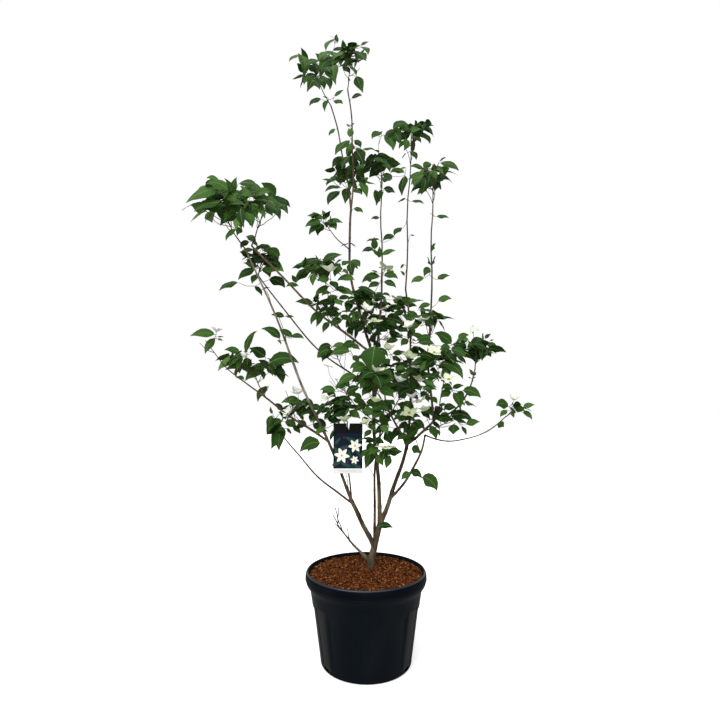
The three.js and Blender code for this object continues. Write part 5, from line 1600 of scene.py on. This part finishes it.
def make_tag():
    """A plain print of its own: a blue-black ground with three pale flowers of six petals on a slanting
    sprig of long leaves and a few red berries, a black head with a slit, and a white foot."""
    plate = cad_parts["picture_tag"]
    plate.data.materials.clear()
    plate.data.materials.append(TAG_FACES["plate"])
    petals, eyes = printed_flowers()
    leaves = [oval(x, z, long, 0.34 * long, turn) for x, z, turn, long in SPRIG_LEAVES]
    for name, shapes in (
        ("ground", [flat_shape(panel(-71, 71, -222, -50), 0.15)]),
        ("band", [flat_shape(panel(-73, 73, -248, -224), 0.15)]),
        ("rule", [flat_shape(panel(-44, 44, -237, -235.6), 0.25)]),
        ("leaf", [flat_shape(leaf, 0.25) for leaf in leaves]),
        ("berry", [flat_shape(oval(x, z, 4, 4, 0), 0.3) for x, z in BERRIES]),
        ("petal", petals),
        ("eye", eyes),
    ):
        piece = lay_mesh("tag_print_" + name, *join_shapes(shapes), [TAG_FACES[name]], smooth=False)
        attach(piece, "root")


# Floor and light: the lights with their turns in degrees, their power and how many degrees they spread


FLOOR_WHITE = (0.88, 0.88, 0.88)
FLOOR_SHADE = (0.5, 0.5, 0.5)
FLOOR_REACH = 30000.0
LAMPS = (
    ("top_light", (20, -8, 0), 2.0, 70),
    ("front_left_light", (50, 0, -30), 1.5, 45),
    ("low_front_light", (80, 0, 12), 1.1, 60),
)


def seen_or_not(tree, unseen, seen):
    """One value where the camera sees a thing, and another for the light that it throws."""
    path = add_node(tree, "LightPath", {}, {})
    value = add_node(tree, "MapRange", {"To Min": unseen, "To Max": seen},
                     {"Value": path.outputs["Is Camera Ray"]})
    return value.outputs["Result"]


def make_floor():
    """A white floor that throws back less light than it shows, so that the undersides of the leaves stay
    dark."""
    finish, tree, shader = new_finish("studio_floor", FLOOR_WHITE, 0.9, 0.05)
    path = add_node(tree, "LightPath", {}, {})
    shade = add_node(tree, "Mix", {"A": (*FLOOR_SHADE, 1), "B": (*FLOOR_WHITE, 1)},
                     {"Factor": path.outputs["Is Camera Ray"]}, data_type="RGBA")
    tree.links.new(shade.outputs["Result"], shader.inputs["Base Color"])
    shader.inputs["Emission Color"].default_value = (1, 1, 1, 1)
    tree.links.new(seen_or_not(tree, 0, 0.35), shader.inputs["Emission Strength"])
    reach = FLOOR_REACH
    points = np.array([(-reach, -reach, 0), (reach, -reach, 0), (reach, reach, 0), (-reach, reach, 0)])
    floor = lay_mesh("studio_floor", points, [np.array([[0, 1, 2, 3]])], [finish])


def make_light():
    """White surroundings, a broad light from above and the left, and two weak ones."""
    world = bpy.data.worlds.new("studio")
    bpy.context.scene.world = world
    world.use_nodes = True
    tree = world.node_tree
    sky = tree.nodes["Background"]
    sky.inputs["Color"].default_value = (1, 1, 1, 1)
    tree.links.new(seen_or_not(tree, 0.6, 1.0), sky.inputs["Strength"])
    for name, turn, power, spread in LAMPS:
        lamp = bpy.data.lights.new(name, "SUN")
        lamp.energy = power
        lamp.angle = radians(spread)
        holder = bpy.data.objects.new(name, lamp)
        holder.rotation_euler = tuple(map(radians, turn))
        bpy.context.scene.collection.objects.link(holder)
    bpy.context.scene.view_settings.view_transform = "Standard"


def dress_plant():
    """All pieces of the plant and its pot, with one stream of random draws."""
    draw = np.random.default_rng(GROWTH_SEED)
    make_pot()
    make_bed()
    make_chips(draw)
    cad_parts["root_ball"].data.materials.clear()
    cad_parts["root_ball"].data.materials.append(COMPOST)
    limbs = grow_limbs(CROOK, GAP)
    make_limbs(limbs, draw)
    crown = Crown(limbs, draw)
    for index, row in enumerate(MASSES):
        crown.grow_mass(index, row)
    for stretch in LEAFY_STRETCHES:
        crown.dress_limb(*stretch)
    for limb, share, tip, radii in SIDE_SHOOTS:
        foot = limbs[limb][0].at(share)
        crown.add_twig(Line(foot, tip, (0, 0, -4), 0.02), *radii)
    for place in crown.placed["along_limbs"]:
        crown.add_placed_leaf(*place, PLACED_LIMB_LIGHT)
    make_blossoms(crown, draw)
    for row in MASSES:
        if row[0] in DEEP:
            crown.fill_back(row)
    make_twigs(crown)
    make_leaves(crown.leaves, [row[0] for row in MASSES])
    make_tag()


add_camera()
dress_plant()
make_floor()
make_light()
